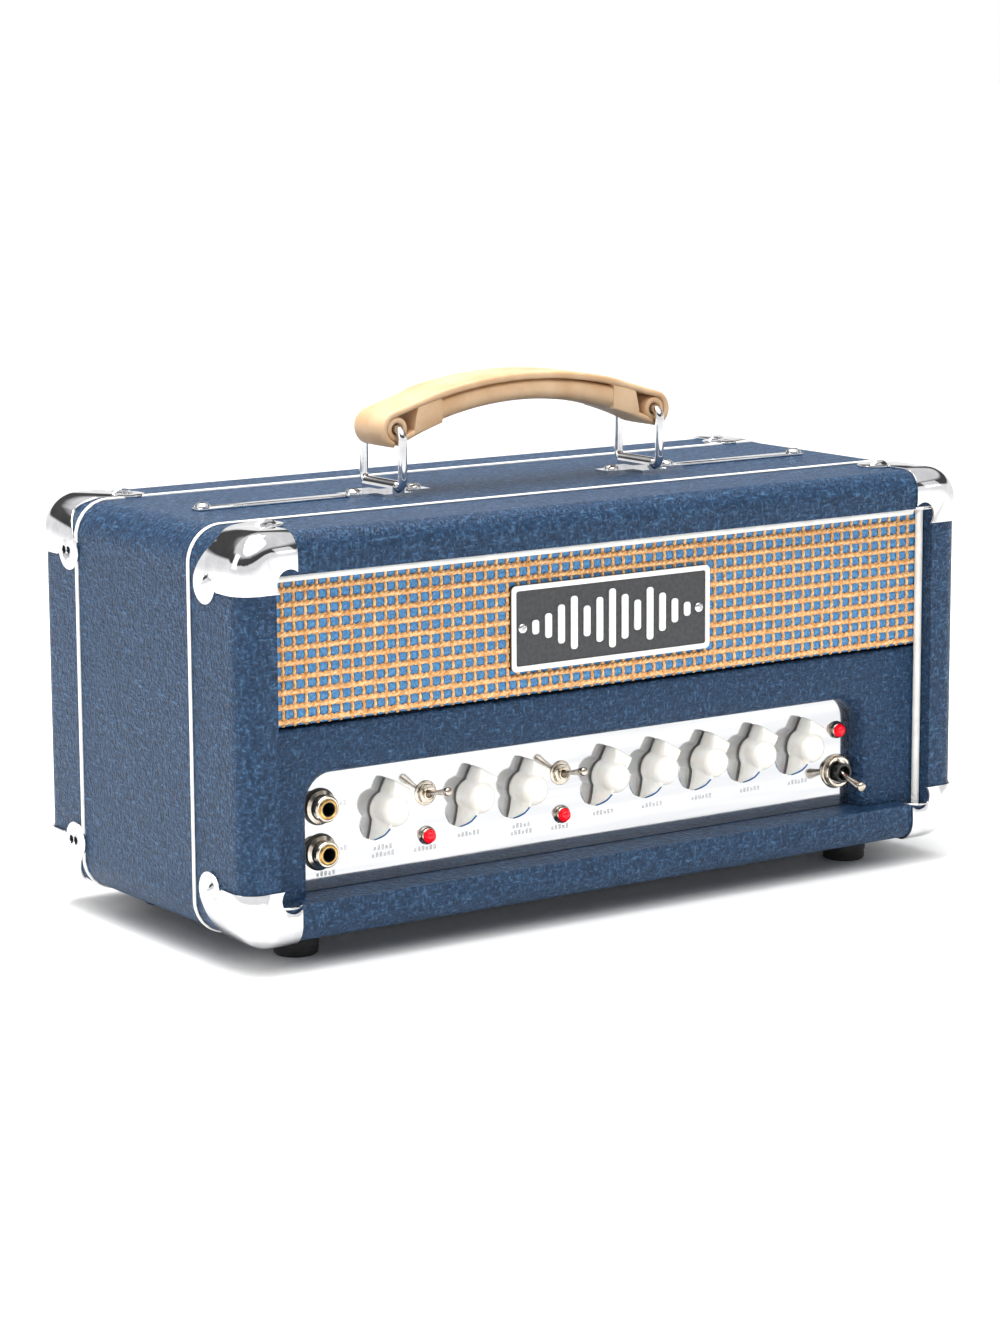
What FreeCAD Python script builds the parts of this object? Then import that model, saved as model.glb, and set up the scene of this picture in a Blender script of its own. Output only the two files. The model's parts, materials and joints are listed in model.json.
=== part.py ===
import FreeCAD, Part
import math
import os
import re
from types import SimpleNamespace

import Sketcher
from FreeCAD import Placement, Rotation, Vector

# Small valve guitar amp head: a vinyl covered plywood box with a woven grille above
# a recessed control panel, chromed corners, a leather strap handle and rubber feet.
# Frame: +Z up, the front faces -Y, the origin is on the floor under the middle.
# "base" is the underside of the wooden box, which stands on the feet.

DIMENSIONS = {
    # wooden box
    "width": 430, "depth": 192, "tall": 192, "base": 13, "wall": 19, "skin": 0.8,
    "edge_round": 17, "rim_round": 10, "lining": 30,
    # white trim
    "band_front": 50, "band_rear": 58, "band_wide": 2.4, "band_proud": 1.0, "bead": 4,
    # front: recessed baffle, grille and badge
    "recess": 10, "baffle": 11, "fit_gap": 0.2, "baffle_top": 100, "grille_low": 101.5,
    "notch_left": 173.5, "notch_right": 159.5, "notch_top": 76, "notch_round": 14,
    "cloth": 1.2, "vent_hole": 30, "badge_wide": 119, "badge_tall": 41.6,
    "badge_thick": 2.2, "badge_left": 2, "badge_mid": 134.3, "badge_rim": 2.6,
    # chassis and its polished front plate
    "plate": 1.5, "steel": 1.2, "chassis_wide": 375, "chassis_tall": 62, "chassis_back": 75,
    "flange": 14,
    # controls, heights above the box's underside
    "knob_row": 54, "upper_row": 59, "lower_row": 37.3, "knob_high": 15, "knob_gap": 0.6,
    "spindle": 3.0, "pot_bushing": 4.7, "jack_left": 162, "jack_bore": 3.2, "jack_bushing": 4.7,
    "switch_right": 151, "toggle_pivot": 2.5, "toggle_reach": 16.5, "toggle_tilt": 13,
    "mains_reach": 17, "mains_tilt": 16, "running": 0.06,
    # handle
    "handle_fore": 3, "handle_half": 78, "loop_half": 17.5, "loop_tall": 28.6, "wire": 2.3,
    "clip_lift": 4.0, "strap_wide": 29, "strap_crown": 56, "strap_thick": 14.5, "roll": 9.3,
    "clip_half": 23.5, "clip_screw": 17.5, "strip_end": 184, "strip_wide": 7,
    # corners and feet
    "cap_steel": 1.2, "cap_leg": 30, "cap_drop": 27, "cap_lobe": 9.5, "cap_screw": 31,
    "screw_shank": 1.9, "foot_in": 47, "foot_fore": 34, "foot_wide": 12,
}

KNOBS = {
    "knob_volume": -126.5, "knob_drive": -77.5, "knob_level": -46.5, "knob_bass": 2.8,
    "knob_middle": 33.0, "knob_treble": 64.0, "knob_tone": 95.0, "knob_reverb": 126.2,
}
KNOB_REST = 150  # every pointer stands at its lowest mark, turned this far left of upright
TOGGLES = {"toggle_lever_left": -102.5, "toggle_lever_right": -23.5}

doc = FreeCAD.newDocument("AmpHead")
sheet = doc.addObject("Spreadsheet::Sheet", "Dims")
for row, (alias, amount) in enumerate(DIMENSIONS.items(), start=1):
    sheet.set(f"A{row}", alias)
    sheet.set(f"B{row}", str(amount))
    sheet.setAlias(f"B{row}", alias)
doc.recompute()
d = SimpleNamespace(**{alias: float(sheet.get(alias)) for alias in DIMENSIONS})

top = d.base + d.tall
front = -d.depth / 2
baffle_y = front + d.recess
panel_y = baffle_y + d.baffle
handle_y = -d.handle_fore
loop_z = top + d.clip_lift
nodes = []


# ---------------------------------------------------------------- helpers

def link(text):
    """Point every sheet alias in an expression at the sheet."""
    return re.sub(r"[a-z_]+", lambda word: "Dims." + word.group(0), text)


def place(thing, at, turn=None):
    if turn:
        thing.Placement = Placement(Vector(), turn)
    for axis, text in zip("xyz", at):
        thing.setExpression(f"Placement.Base.{axis}", link(text))


def box(name, sizes, at):
    block = doc.addObject("Part::Box", name)
    for side, text in zip(("Length", "Width", "Height"), sizes):
        block.setExpression(side, link(text))
    place(block, at)
    return block


TURNS = {
    "x": Rotation(Vector(0, 1, 0), 90), "y": Rotation(Vector(1, 0, 0), -90),
    "-y": Rotation(Vector(1, 0, 0), 90), "z": Rotation(), "-z": Rotation(Vector(1, 0, 0), 180),
    "-x": Rotation(Vector(0, 1, 0), -90),
}


def rod(name, radius, length, at, along="z"):
    bar = doc.addObject("Part::Cylinder", name)
    bar.setExpression("Radius", link(radius))
    bar.setExpression("Height", link(length))
    place(bar, at, TURNS[along])
    return bar


def ball(name, radius, at):
    globe = doc.addObject("Part::Sphere", name)
    globe.setExpression("Radius", link(radius))
    place(globe, at)
    return globe


def cut(name, base, tool):
    made = doc.addObject("Part::Cut", name)
    made.Base = base
    made.Tool = tool
    return made


def common(name, base, tool):
    made = doc.addObject("Part::Common", name)
    made.Base = base
    made.Tool = tool
    return made


def fuse(name, pieces):
    made = doc.addObject("Part::MultiFuse", name)
    made.Shapes = pieces
    made.Refine = True
    return made


def round_edges(name, base, radius, chosen):
    doc.recompute()
    made = doc.addObject("Part::Fillet", name)
    made.Base = base
    made.Edges = [(i, radius, radius) for i, edge in enumerate(base.Shape.Edges, 1) if chosen(edge)]
    return made


def feature(name, shape):
    made = doc.addObject("Part::Feature", name)
    made.Shape = shape
    return made


def node(thing, label):
    thing.Label = label
    nodes.append(thing)
    return thing


def along_y(edge):
    start, end = edge.Vertexes[0].Point, edge.Vertexes[-1].Point
    return abs(start.x - end.x) + abs(start.z - end.z) < 1e-4 and abs(start.y - end.y) > 0.3


def on_face(edge, axis, level):
    return all(abs(abs(getattr(v.Point, axis)) - level) < 1e-4 for v in edge.Vertexes) and (
        abs(abs(getattr(edge.CenterOfMass, axis)) - level) < 1e-4)


def turned(profile):
    """Solid of revolution about Z from (radius, height) points."""
    points = [Vector(r, 0, h) for r, h in profile]
    return Part.Face(Part.makePolygon(points + points[:1])).revolve(Vector(), Vector(0, 0, 1), 360)


def put(shape, at, along="z"):
    moved = shape.copy()
    moved.Placement = Placement(Vector(*at), TURNS[along])
    return moved


def slab(x, y, z):
    """Plain block between two limits on each axis."""
    return Part.makeBox(x[1] - x[0], y[1] - y[0], z[1] - z[0], Vector(x[0], y[0], z[0]))


# ---------------------------------------------------------------- sketches in bodies
# Bodies that face the front have their sketch corner at the box's left side on the floor.

def panel_body(name, y_text):
    body = doc.addObject("PartDesign::Body", name)
    place(body, ("-width / 2", y_text, "0"))
    return body


def sketch(body, name):
    drawing = body.newObject("Sketcher::SketchObject", name)
    plane = next(f for f in body.Origin.OriginFeatures if f.Role == "XZ_Plane")
    drawing.AttachmentSupport = [(plane, "")]
    drawing.MapMode = "FlatFace"
    return drawing


def bound(drawing, constraint, text):
    number = drawing.addConstraint(constraint)
    drawing.setExpression(f"Constraints[{number}]", link(text))


def rectangle(drawing, left, low, wide, tall):
    x, z, w, h = 1, 1, 10, 10
    corners = [Vector(x, z, 0), Vector(x + w, z, 0), Vector(x + w, z + h, 0), Vector(x, z + h, 0)]
    first = drawing.GeometryCount
    for start, end in zip(corners, corners[1:] + corners[:1]):
        drawing.addGeometry(Part.LineSegment(start, end))
    for side in range(4):
        nxt = first + (side + 1) % 4
        drawing.addConstraint(Sketcher.Constraint("Coincident", first + side, 2, nxt, 1))
        way = "Horizontal" if side % 2 == 0 else "Vertical"
        drawing.addConstraint(Sketcher.Constraint(way, first + side))
    bound(drawing, Sketcher.Constraint("DistanceX", first, 1, first, 2, w), wide)
    bound(drawing, Sketcher.Constraint("DistanceY", first + 1, 1, first + 1, 2, h), tall)
    bound(drawing, Sketcher.Constraint("DistanceX", -1, 1, first, 1, x), left)
    bound(drawing, Sketcher.Constraint("DistanceY", -1, 1, first, 1, z), low)


def circle(drawing, across, high, radius):
    number = drawing.addGeometry(Part.Circle(Vector(5, 5, 0), Vector(0, 0, 1), 2))
    bound(drawing, Sketcher.Constraint("Radius", number, 2), radius)
    bound(drawing, Sketcher.Constraint("DistanceX", -1, 1, number, 3, 5), across)
    bound(drawing, Sketcher.Constraint("DistanceY", -1, 1, number, 3, 5), high)


def pad(body, name, drawing, length):
    made = body.newObject("PartDesign::Pad", name)
    made.Profile = drawing
    made.setExpression("Length", link(length))
    drawing.Visibility = False
    return made


def pocket(body, name, drawing):
    """Cuts a sketch right through a body."""
    made = body.newObject("PartDesign::Pocket", name)
    made.Profile = drawing
    made.Type = 1
    made.Midplane = True
    drawing.Visibility = False
    return made


def round_in_body(body, name, base, radius, chosen):
    doc.recompute()
    edges = [f"Edge{i}" for i, edge in enumerate(base.Shape.Edges, 1) if chosen(edge)]
    made = body.newObject("PartDesign::Fillet", name)
    made.Base = (base, edges)
    made.setExpression("Radius", link(radius))
    return made


# ---------------------------------------------------------------- wooden box and its covering

def box_form(name, inset, inset_mm):
    """The box's outside, rounded on its long edges and rims, drawn in by inset."""
    block = box(name + "Block",
                (f"width - 2 * {inset}", f"depth - 2 * {inset}", f"tall - 2 * {inset}"),
                (f"-width / 2 + {inset}", f"-depth / 2 + {inset}", f"base + {inset}"))
    long_edges = round_edges(name + "Edges", block, d.edge_round - inset_mm, along_y)
    return round_edges(name, long_edges, d.rim_round - inset_mm,
                       lambda edge: on_face(edge, "y", d.depth / 2 - inset_mm))


def opening(name, grow):
    """The square hole through the box, front to back."""
    return box(name, (f"width - 2 * wall + 2 * {grow}", "depth + 20",
                      f"tall - 2 * wall + 2 * {grow}"),
               (f"-width / 2 + wall - {grow}", "-depth / 2 - 10", f"base + wall - {grow}"))


SCREW_DROP = 24.0             # corner screws below the top of the box, on its sides
SHANK_LONG = 14.0
SHANK_CLEAR = 0.05
FOOT_SHANK = 18.0
BOLT_RADIUS = 2.0
BOLT_SEAT = (4.2, 3.0)        # counterbore radius and depth under the bottom board
BOLT_SPOTS = (7.5, -35, 45)   # in from the chassis's ends, and the two rows along Y


def screw_places():
    """Where the corner screws stand: (x, y, z, way the head faces)."""
    places = []
    fore, side, high = d.depth / 2 - d.cap_screw, d.width / 2 + d.cap_steel, d.tall / 2 - SCREW_DROP
    across = d.width / 2 - d.cap_screw
    middle = d.base + d.tall / 2
    lift = d.tall / 2 + d.cap_steel
    for right in (-1, 1):
        for rear in (-1, 1):
            for up in (-1, 1):
                outward = "x" if right > 0 else "-x"
                places.append((right * side, rear * fore, middle + up * high, outward))
                places.append((right * across, rear * fore, middle + up * lift,
                               "z" if up > 0 else "-z"))
    return places


front_screw = (d.width / 2 - 24.5, front, d.tall / 2 - 21.5)
box_middle = d.base + d.tall / 2
FRONT_SCREWS = [(front_screw[0], 1), (front_screw[0], -1), (-front_screw[0], -1)]
corner_places = screw_places() + [
    (x, front, box_middle + up * front_screw[2], "-y") for x, up in FRONT_SCREWS]
handle_places = [(side * (d.handle_half + offset), handle_y, top + d.plate, "z")
                 for side in (-1, 1) for offset in (-d.clip_screw, d.clip_screw)]
handle_places += [(side * (d.strip_end - 4), handle_y, top + d.plate, "z") for side in (-1, 1)]
foot_places = [(x * (d.width / 2 - d.foot_in), y * (d.depth / 2 - d.foot_fore))
               for x in (-1, 1) for y in (-1, 1)]
bolt_places = [(x * (d.chassis_wide / 2 - BOLT_SPOTS[0]), y) for x in (-1, 1)
               for y in BOLT_SPOTS[1:]]

shanks = [put(Part.makeCylinder(d.screw_shank + SHANK_CLEAR, SHANK_LONG + 0.1,
                                Vector(0, 0, -SHANK_LONG - 0.1)), (x, y, z), way)
          for x, y, z, way in corner_places + handle_places]
shanks += [Part.makeCylinder(d.screw_shank + SHANK_CLEAR, FOOT_SHANK, Vector(x, y, d.base / 2))
           for x, y in foot_places]
shanks += [Part.makeCylinder(BOLT_RADIUS + SHANK_CLEAR, 30, Vector(x, y, d.base - 2))
           for x, y in bolt_places]
shanks += [Part.makeCylinder(BOLT_SEAT[0], BOLT_SEAT[1] + 2, Vector(x, y, d.base - 2))
           for x, y in bolt_places]
screw_holes = feature("ScrewHoles", Part.makeCompound(shanks))


def drilled(name, thing, label):
    return node(cut(name, thing, screw_holes), label)


outside = box_form("BoxOutside", "0", 0.0)
wood_outside = box_form("WoodOutside", "skin", d.skin)
wood = cut("Wood", wood_outside, opening("WoodOpening", "skin"))

slabs = {
    "top_board": (("width", "depth", "wall - skin"),
                  ("-width / 2", "-depth / 2", "base + tall - wall + skin")),
    "bottom_board": (("width", "depth", "wall - skin"), ("-width / 2", "-depth / 2", "base")),
    "side_board_left": (("width / 2", "depth", "tall - 2 * wall + 2 * skin"),
                        ("-width / 2", "-depth / 2", "base + wall - skin")),
    "side_board_right": (("width / 2", "depth", "tall - 2 * wall + 2 * skin"),
                         ("0", "-depth / 2", "base + wall - skin")),
}
for label, (sizes, corner) in slabs.items():
    name = label.title().replace("_", "")
    drilled(name, common(name + "Cut", wood, box(name + "Slab", sizes, corner)), label)

skin_tube = cut("SkinTube", cut("SkinOuter", outside, opening("SkinOpening", "0")), wood)
unlined = box("Unlined", ("width - 2 * wall + 2.4 * skin", "depth - 2 * lining",
                          "tall - 2 * wall + 2.4 * skin"),
              ("-width / 2 + wall - 1.2 * skin", "-depth / 2 + lining",
               "base + wall - 1.2 * skin"))
drilled("VinylCover", cut("VinylTube", skin_tube, unlined), "vinyl_cover")


def trim_band(name, y_text, label):
    """White beading that runs right round the box in the joint of the covering."""
    ring = box(name + "Ring", ("width + 2 * band_proud", "band_wide", "tall + 2 * band_proud"),
               ("-width / 2 - band_proud", y_text + " - band_wide / 2", "base - band_proud"))
    outer = round_edges(name + "Outer", ring, d.edge_round + d.band_proud, along_y)
    soft = round_edges(name + "Soft", outer, 0.8,
                       lambda edge: len(edge.Vertexes) == 2 and not along_y(edge))
    node(cut(name, soft, outside), label)


trim_band("FrontBand", "-band_front", "front_band")
trim_band("RearBand", "band_rear", "rear_band")

# Half-round beading in the corner between the box and the recessed front, open at the floor.
bead_x = "width / 2 - wall - bead / 2 - 0.05"
bead_y = "-depth / 2 + recess - bead / 2 - 0.05"
bead_top = "base + tall - wall - bead / 2 - 0.05"
bead_posts = [rod(f"BeadPost{i}", "bead / 2", "tall - 2 * wall - bead / 2 - 0.1",
                  (sign + "(" + bead_x + ")", bead_y, "base + wall + 0.05"))
              for i, sign in enumerate(("-1 * ", "1 * "))]
bead_ends = [ball(f"BeadEnd{i}", "bead / 2", (sign + "(" + bead_x + ")", bead_y, bead_top))
             for i, sign in enumerate(("-1 * ", "1 * "))]
bead_rail = rod("BeadRail", "bead / 2", f"2 * ({bead_x})", (f"-1 * ({bead_x})", bead_y, bead_top),
                "x")
drilled("OpeningPiping", fuse("BeadAll", bead_posts + bead_ends + [bead_rail]), "opening_piping")

# ---------------------------------------------------------------- lower baffle, grille, badge

INNER = "(wall + fit_gap)"      # from the box's outside to the fitted panels
FLOOR = "(base + wall + 0.05)"  # height of the ledge that the panels stand on
baffle_back = "-depth / 2 + recess + baffle"


def notch_corner(inset):
    """True on the two upper inner corners of the baffle's notch."""
    def chosen(edge):
        spot = edge.CenterOfMass
        level = d.base + d.notch_top + inset
        side = min(abs(spot.x - (d.width / 2 - d.notch_left - inset)),
                   abs(spot.x - (d.width / 2 + d.notch_right + inset)))
        return along_y(edge) and abs(spot.z - level) < 0.01 and side < 0.01
    return chosen


def baffle_form(name, inset, inset_mm, length):
    """Board with a notch open at the floor, its free edges drawn in by inset."""
    body = panel_body(name, baffle_back)
    face = sketch(body, name + "Face")
    rectangle(face, INNER, FLOOR, f"width - 2 * {INNER}",
              f"base + baffle_top - {inset} - {FLOOR}")
    board = pad(body, name + "Pad", face, length)
    hole = sketch(body, name + "Notch")
    rectangle(hole, f"width / 2 - notch_left - {inset}", "base",
              f"notch_left + notch_right + 2 * {inset}", f"notch_top + {inset}")
    notched = pocket(body, name + "Pocket", hole)
    round_in_body(body, name + "Round", notched, f"notch_round + {inset}",
                  notch_corner(inset_mm))
    return body


lower_board = baffle_form("LowerBoard", "skin", d.skin, "baffle - skin")
drilled("LowerBaffleBoard", lower_board, "lower_baffle_board")
lower_block = baffle_form("LowerBlock", "0", 0.0, "baffle")
drilled("LowerBaffleCover", cut("LowerSkin", lower_block, lower_board), "lower_baffle_cover")


def grille_form(name, inset, length):
    body = panel_body(name, baffle_back)
    face = sketch(body, name + "Face")
    rectangle(face, f"{INNER} + {inset}", f"base + grille_low + {inset}",
              f"width - 2 * {INNER} - 2 * {inset}",
              f"tall - wall - fit_gap - grille_low - 2 * {inset}")
    pad(body, name + "Pad", face, length)
    return body


grille_wood = grille_form("GrilleWood", "cloth", "baffle - cloth")
vents = sketch(grille_wood, "GrilleVents")
for across in (45, 85, 125, 305, 345, 385):
    circle(vents, str(across), "base + badge_mid + 3", "vent_hole / 2")
pocket(grille_wood, "GrilleVentHoles", vents)
drilled("GrilleBoard", grille_wood, "grille_board")
grille_block = grille_form("GrilleBlock", "0", "baffle")
grille_core = grille_form("GrilleCore", "cloth", "baffle - cloth")
drilled("GrilleCloth", cut("ClothSkin", grille_block, grille_core), "grille_cloth")

badge = panel_body("BadgeBody", "-depth / 2 + recess")
badge_face = sketch(badge, "BadgeFace")
badge_corner = ("width / 2 - badge_left - badge_wide / 2", "base + badge_mid - badge_tall / 2")
rectangle(badge_face, *badge_corner, "badge_wide", "badge_tall")
badge_plate = pad(badge, "BadgePad", badge_face, "badge_thick")
round_in_body(badge, "BadgeRound", badge_plate, "badge_rim", along_y)
node(badge, "badge_plate")

# Raised rim and a generic row of sound-level bars.
relief = 0.8
STUD_REACH = 53.0
badge_x, badge_z = -d.badge_left, d.base + d.badge_mid
badge_front = baffle_y - d.badge_thick
BAR_WIDE, BAR_PITCH = 4.0, 7.6
BAR_HEIGHTS = (7, 12, 19, 26, 15, 22, 29, 22, 15, 26, 19, 12, 7)


def rounded_slab(wide, high, radius, thick):
    block = Part.makeBox(wide, thick, high, Vector(badge_x - wide / 2, badge_front - thick,
                                                   badge_z - high / 2))
    return block.makeFillet(radius, [edge for edge in block.Edges if along_y(edge)])


rim_inner = rounded_slab(d.badge_wide - 2 * d.badge_rim, d.badge_tall - 2 * d.badge_rim, 1.2,
                         relief)
rim = rounded_slab(d.badge_wide, d.badge_tall, d.badge_rim, relief).cut(rim_inner)
bars = []
for place_in_row, high in enumerate(BAR_HEIGHTS):
    bar = rounded_slab(BAR_WIDE, high, 1.6, relief)
    bar.translate(Vector((place_in_row - (len(BAR_HEIGHTS) - 1) / 2) * BAR_PITCH, 0, 0))
    bars.append(bar)
node(feature("BadgeRelief", Part.makeCompound([rim] + bars)), "badge_relief")
stud = turned([(0, 0), (2.6, 0), (2.6, 0.5), (1.6, 1.5), (0, 1.5)])
badge_studs = [put(stud, (badge_x + side * STUD_REACH, badge_front, badge_z), "-y")
               for side in (-1, 1)]
node(feature("BadgeScrews", Part.makeCompound(badge_studs)), "badge_screws")

# ---------------------------------------------------------------- chromed corners and screws

doc.recompute()
shell = box_form("CapOutside", "(-1 * cap_steel)", -d.cap_steel)
doc.recompute()
shell_shape = shell.Shape.cut(outside.Shape)


def prism(points, axis, start, length):
    """Solid over a flat outline: points are (y, z) along x or (x, y) along z."""
    if axis == "x":
        outline = [Vector(start, y, z) for y, z in points]
        way = Vector(length, 0, 0)
    else:
        outline = [Vector(x, y, start) for x, y in points]
        way = Vector(0, 0, length)
    return Part.Face(Part.makePolygon(outline + outline[:1])).extrude(way)


NOTCH_RADIUS = 6.6  # rounded bite in the front leg, round its screw


def front_cap():
    """Upper right front corner: a front leg with a dished notch, a side lobe, a top lobe."""
    side, leg, drop, lobe = d.width / 2, d.cap_leg, d.cap_drop, d.cap_lobe
    screw_y, screw_z = front + d.cap_screw, top - SCREW_DROP
    screw_x = side - d.cap_screw
    over, edge_y = 5, front + 20
    block = slab((side - leg, side + over), (front - over, edge_y), (top - drop, top + over))
    side_plate = prism([(front, top + over), (edge_y + 9, top + over), (edge_y + 9, top - 5),
                        (screw_y + 8, screw_z + 5), (screw_y, screw_z), (edge_y - 1, top - drop),
                        (front, top - drop)], "x", side - 12, 12 + over)
    side_lobe = put(Part.makeCylinder(lobe, 20), (side - 12, screw_y, screw_z), "x")
    top_plate = prism([(side + over, front), (side + over, edge_y + 9), (side - 5, edge_y + 9),
                       (screw_x + 5, screw_y + 8), (screw_x, screw_y), (side - leg, edge_y - 4),
                       (side - leg, front)], "z", top - 12, 12 + over)
    top_lobe = Part.makeCylinder(lobe, 20, Vector(screw_x, screw_y, top - 12))
    form = block.fuse([side_plate, side_lobe, top_plate, top_lobe])
    hole_x, hole_z = front_screw[0] - 1, box_middle + front_screw[2] - 1
    notch = put(Part.makeCylinder(NOTCH_RADIUS, 30), (hole_x, front + 10, hole_z), "-y")
    inside_corner = slab((0, hole_x), (front - 10, front + 9), (0, hole_z))
    cap = shell_shape.common(form).cut(notch).cut(inside_corner)
    return max(cap.Solids, key=lambda solid: solid.Volume)


cap_right = front_cap()
cap_left = cap_right.mirror(Vector(), Vector(1, 0, 0))
upper = [cap_right, cap_left]
lower = [cap.mirror(Vector(0, 0, box_middle), Vector(0, 0, 1)) for cap in upper]
front_caps = Part.makeCompound(upper + lower)
rear_caps = front_caps.mirror(Vector(), Vector(0, 1, 0))
drilled("FrontCorners", feature("FrontCaps", front_caps), "front_corners")
band_room = next(thing for thing in nodes if thing.Label == "rear_band").Shape
drilled("RearCorners", feature("RearCaps", rear_caps.cut(band_room)), "rear_corners")


def dome_screw(head, high, shank, long):
    return turned([(0, -long), (shank, -long), (shank, 0), (head, 0), (head, 0.25 * high),
                   (0.9 * head, 0.6 * high), (0.6 * head, 0.92 * high), (0, high)])


corner_screw = dome_screw(4.8, 2.4, d.screw_shank, SHANK_LONG)
corner_screws = [put(corner_screw, (x, y, z), way) for x, y, z, way in corner_places]
node(feature("CornerScrews", Part.makeCompound(corner_screws)), "corner_screws")

# ---------------------------------------------------------------- handle

doc.recompute()
strips = []
for side in (-1, 1):
    near, far = d.handle_half + d.clip_half + 0.3, d.strip_end
    x = sorted((side * near, side * far))
    strips.append(slab(x, (handle_y - d.strip_wide / 2, handle_y + d.strip_wide / 2),
                       (top, top + d.plate)))
drilled("HandleStrips", feature("StripPair", Part.makeCompound(strips)), "handle_strips")


CLIP_NARROW, CLIP_SADDLE = 6.0, 8.0  # half widths of the clip's ears and of its middle


def clip(x):
    """Flat steel clip that holds the loop's lower bar under a hump."""
    half = d.strap_wide / 2 - d.skin
    outer = d.wire + d.steel + d.running
    flat = slab((x - d.clip_half, x + d.clip_half),
                (handle_y - CLIP_NARROW, handle_y + CLIP_NARROW), (top, top + d.plate))
    middle = slab((x - CLIP_SADDLE, x + CLIP_SADDLE), (handle_y - half, handle_y + half),
                  (top, top + d.plate))
    hump = slab((x - outer, x + outer), (handle_y - half, handle_y + half), (top, loop_z))
    cheek = put(Part.makeCylinder(outer, 2 * half), (x, handle_y - half, loop_z), "y")
    bore = put(Part.makeCylinder(d.wire + d.running, 2 * half + 2), (x, handle_y - half - 1,
                                                                     loop_z), "y")
    return flat.fuse([middle, hump, cheek]).cut(bore).removeSplitter()


clips = Part.makeCompound([clip(-d.handle_half), clip(d.handle_half)])
drilled("HandleClips", feature("ClipPair", clips), "handle_clips")
for side, label in (("-1 * ", "handle_loop_left"), ("1 * ", "handle_loop_right")):
    name = label.title().replace("_", "")
    x, low = side + "handle_half", "base + tall + clip_lift"
    ends = ("-handle_fore - loop_half", "-handle_fore + loop_half")
    levels = (low, low + " + loop_tall")
    bars = [rod(f"{name}Leg{i}", "wire", "loop_tall", (x, y, low)) for i, y in enumerate(ends)]
    bars += [rod(f"{name}Bar{i}", "wire", "2 * loop_half", (x, ends[0], z), "y")
             for i, z in enumerate(levels)]
    bars += [ball(f"{name}Bend{i}{j}", "wire", (x, y, z))
             for i, y in enumerate(ends) for j, z in enumerate(levels)]
    node(fuse(name, bars), label)


STRAP_TUCK = 6.0    # the arch's underside starts this far in from and below the bars
LOOSE_BORE = 0.3    # room round the right bar, which pushes the strap along


def strap():
    """Arched padded strap whose ends wrap round the upper bars of the loops."""
    bar_z = loop_z + d.loop_tall
    crown = top + d.strap_crown
    side = d.handle_half
    upper = Part.Arc(Vector(-side, 0, bar_z + d.roll), Vector(0, 0, crown),
                     Vector(side, 0, bar_z + d.roll)).toShape()
    inner = side - STRAP_TUCK
    lower = Part.Arc(Vector(inner, 0, bar_z - STRAP_TUCK), Vector(0, 0, crown - d.strap_thick),
                     Vector(-inner, 0, bar_z - STRAP_TUCK)).toShape()
    right = Part.makeLine(Vector(side, 0, bar_z + d.roll), Vector(inner, 0, bar_z - STRAP_TUCK))
    left = Part.makeLine(Vector(-inner, 0, bar_z - STRAP_TUCK), Vector(-side, 0, bar_z + d.roll))
    arch = Part.Face(Part.Wire([upper, right, lower, left])).extrude(Vector(0, d.strap_wide, 0))
    rolls = [put(Part.makeCylinder(d.roll, d.strap_wide), (x, 0, bar_z), "y")
             for x in (-side, side)]
    strap_form = arch.fuse(rolls).removeSplitter()
    strap_form.translate(Vector(0, handle_y - d.strap_wide / 2, 0))
    for x, clear in ((-side, d.running), (side, LOOSE_BORE)):
        bore = put(Part.makeCylinder(d.wire + clear, d.strap_wide + 2),
                   (x, handle_y - d.strap_wide / 2 - 1, bar_z), "y")
        strap_form = strap_form.cut(bore)
    return strap_form


node(feature("HandleStrap", strap()), "handle_strap")
handle_screw = dome_screw(4.0, 2.4, d.screw_shank, SHANK_LONG)
node(feature("HandleScrews", Part.makeCompound(
    [put(handle_screw, (x, y, z), way) for x, y, z, way in handle_places])), "handle_screws")

# ---------------------------------------------------------------- feet

foot = turned([(2.2, 0), (d.foot_wide - 2, 0), (d.foot_wide - 0.6, 1.6), (d.foot_wide, d.base),
               (2.2, d.base)]).cut(Part.makeCylinder(5.2, 6))
doc.recompute()
foot_neighbours = [thing.Shape for thing in nodes if thing.Label in
                   ("front_band", "rear_band", "front_corners", "rear_corners", "corner_screws")]
feet_shape = Part.makeCompound([put(foot, (x, y, 0)) for x, y in foot_places])
node(feature("Feet", feet_shape.cut(foot_neighbours)), "feet")
foot_screw = turned([(0, 3.5), (4.6, 3.5), (4.6, 5), (3.4, 6), (d.screw_shank, 6),
                     (d.screw_shank, 24), (0, 24)])
node(feature("FootScrews", Part.makeCompound([put(foot_screw, (x, y, 0))
                                              for x, y in foot_places])), "foot_screws")

# ---------------------------------------------------------------- chassis and front plate

CHASSIS_LOW = "(base + wall + 0.3)"
chassis_low = d.base + d.wall + 0.3
chassis_top = chassis_low + d.chassis_tall
wall_y = panel_y + d.plate           # front of the chassis's front wall
back_y = d.chassis_back              # outside of its rear wall
HOLE_CLEAR = 0.1
HOLES = [(x, d.knob_row, d.pot_bushing + HOLE_CLEAR) for x in KNOBS.values()]
HOLES += [(-d.jack_left, d.upper_row, d.jack_bushing + HOLE_CLEAR),
          (-d.jack_left, d.lower_row, d.jack_bushing + HOLE_CLEAR)]
HOLES += [(x, d.upper_row - 1, 3.0 + HOLE_CLEAR) for x in TOGGLES.values()]
LAMPS = [(x + 0.5, d.lower_row) for x in TOGGLES.values()] + [(d.switch_right, d.upper_row)]
HOLES += [(x, z, 2.5 + HOLE_CLEAR) for x, z in LAMPS]
HOLES += [(d.switch_right, d.lower_row, 5.0 + HOLE_CLEAR)]


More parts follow.
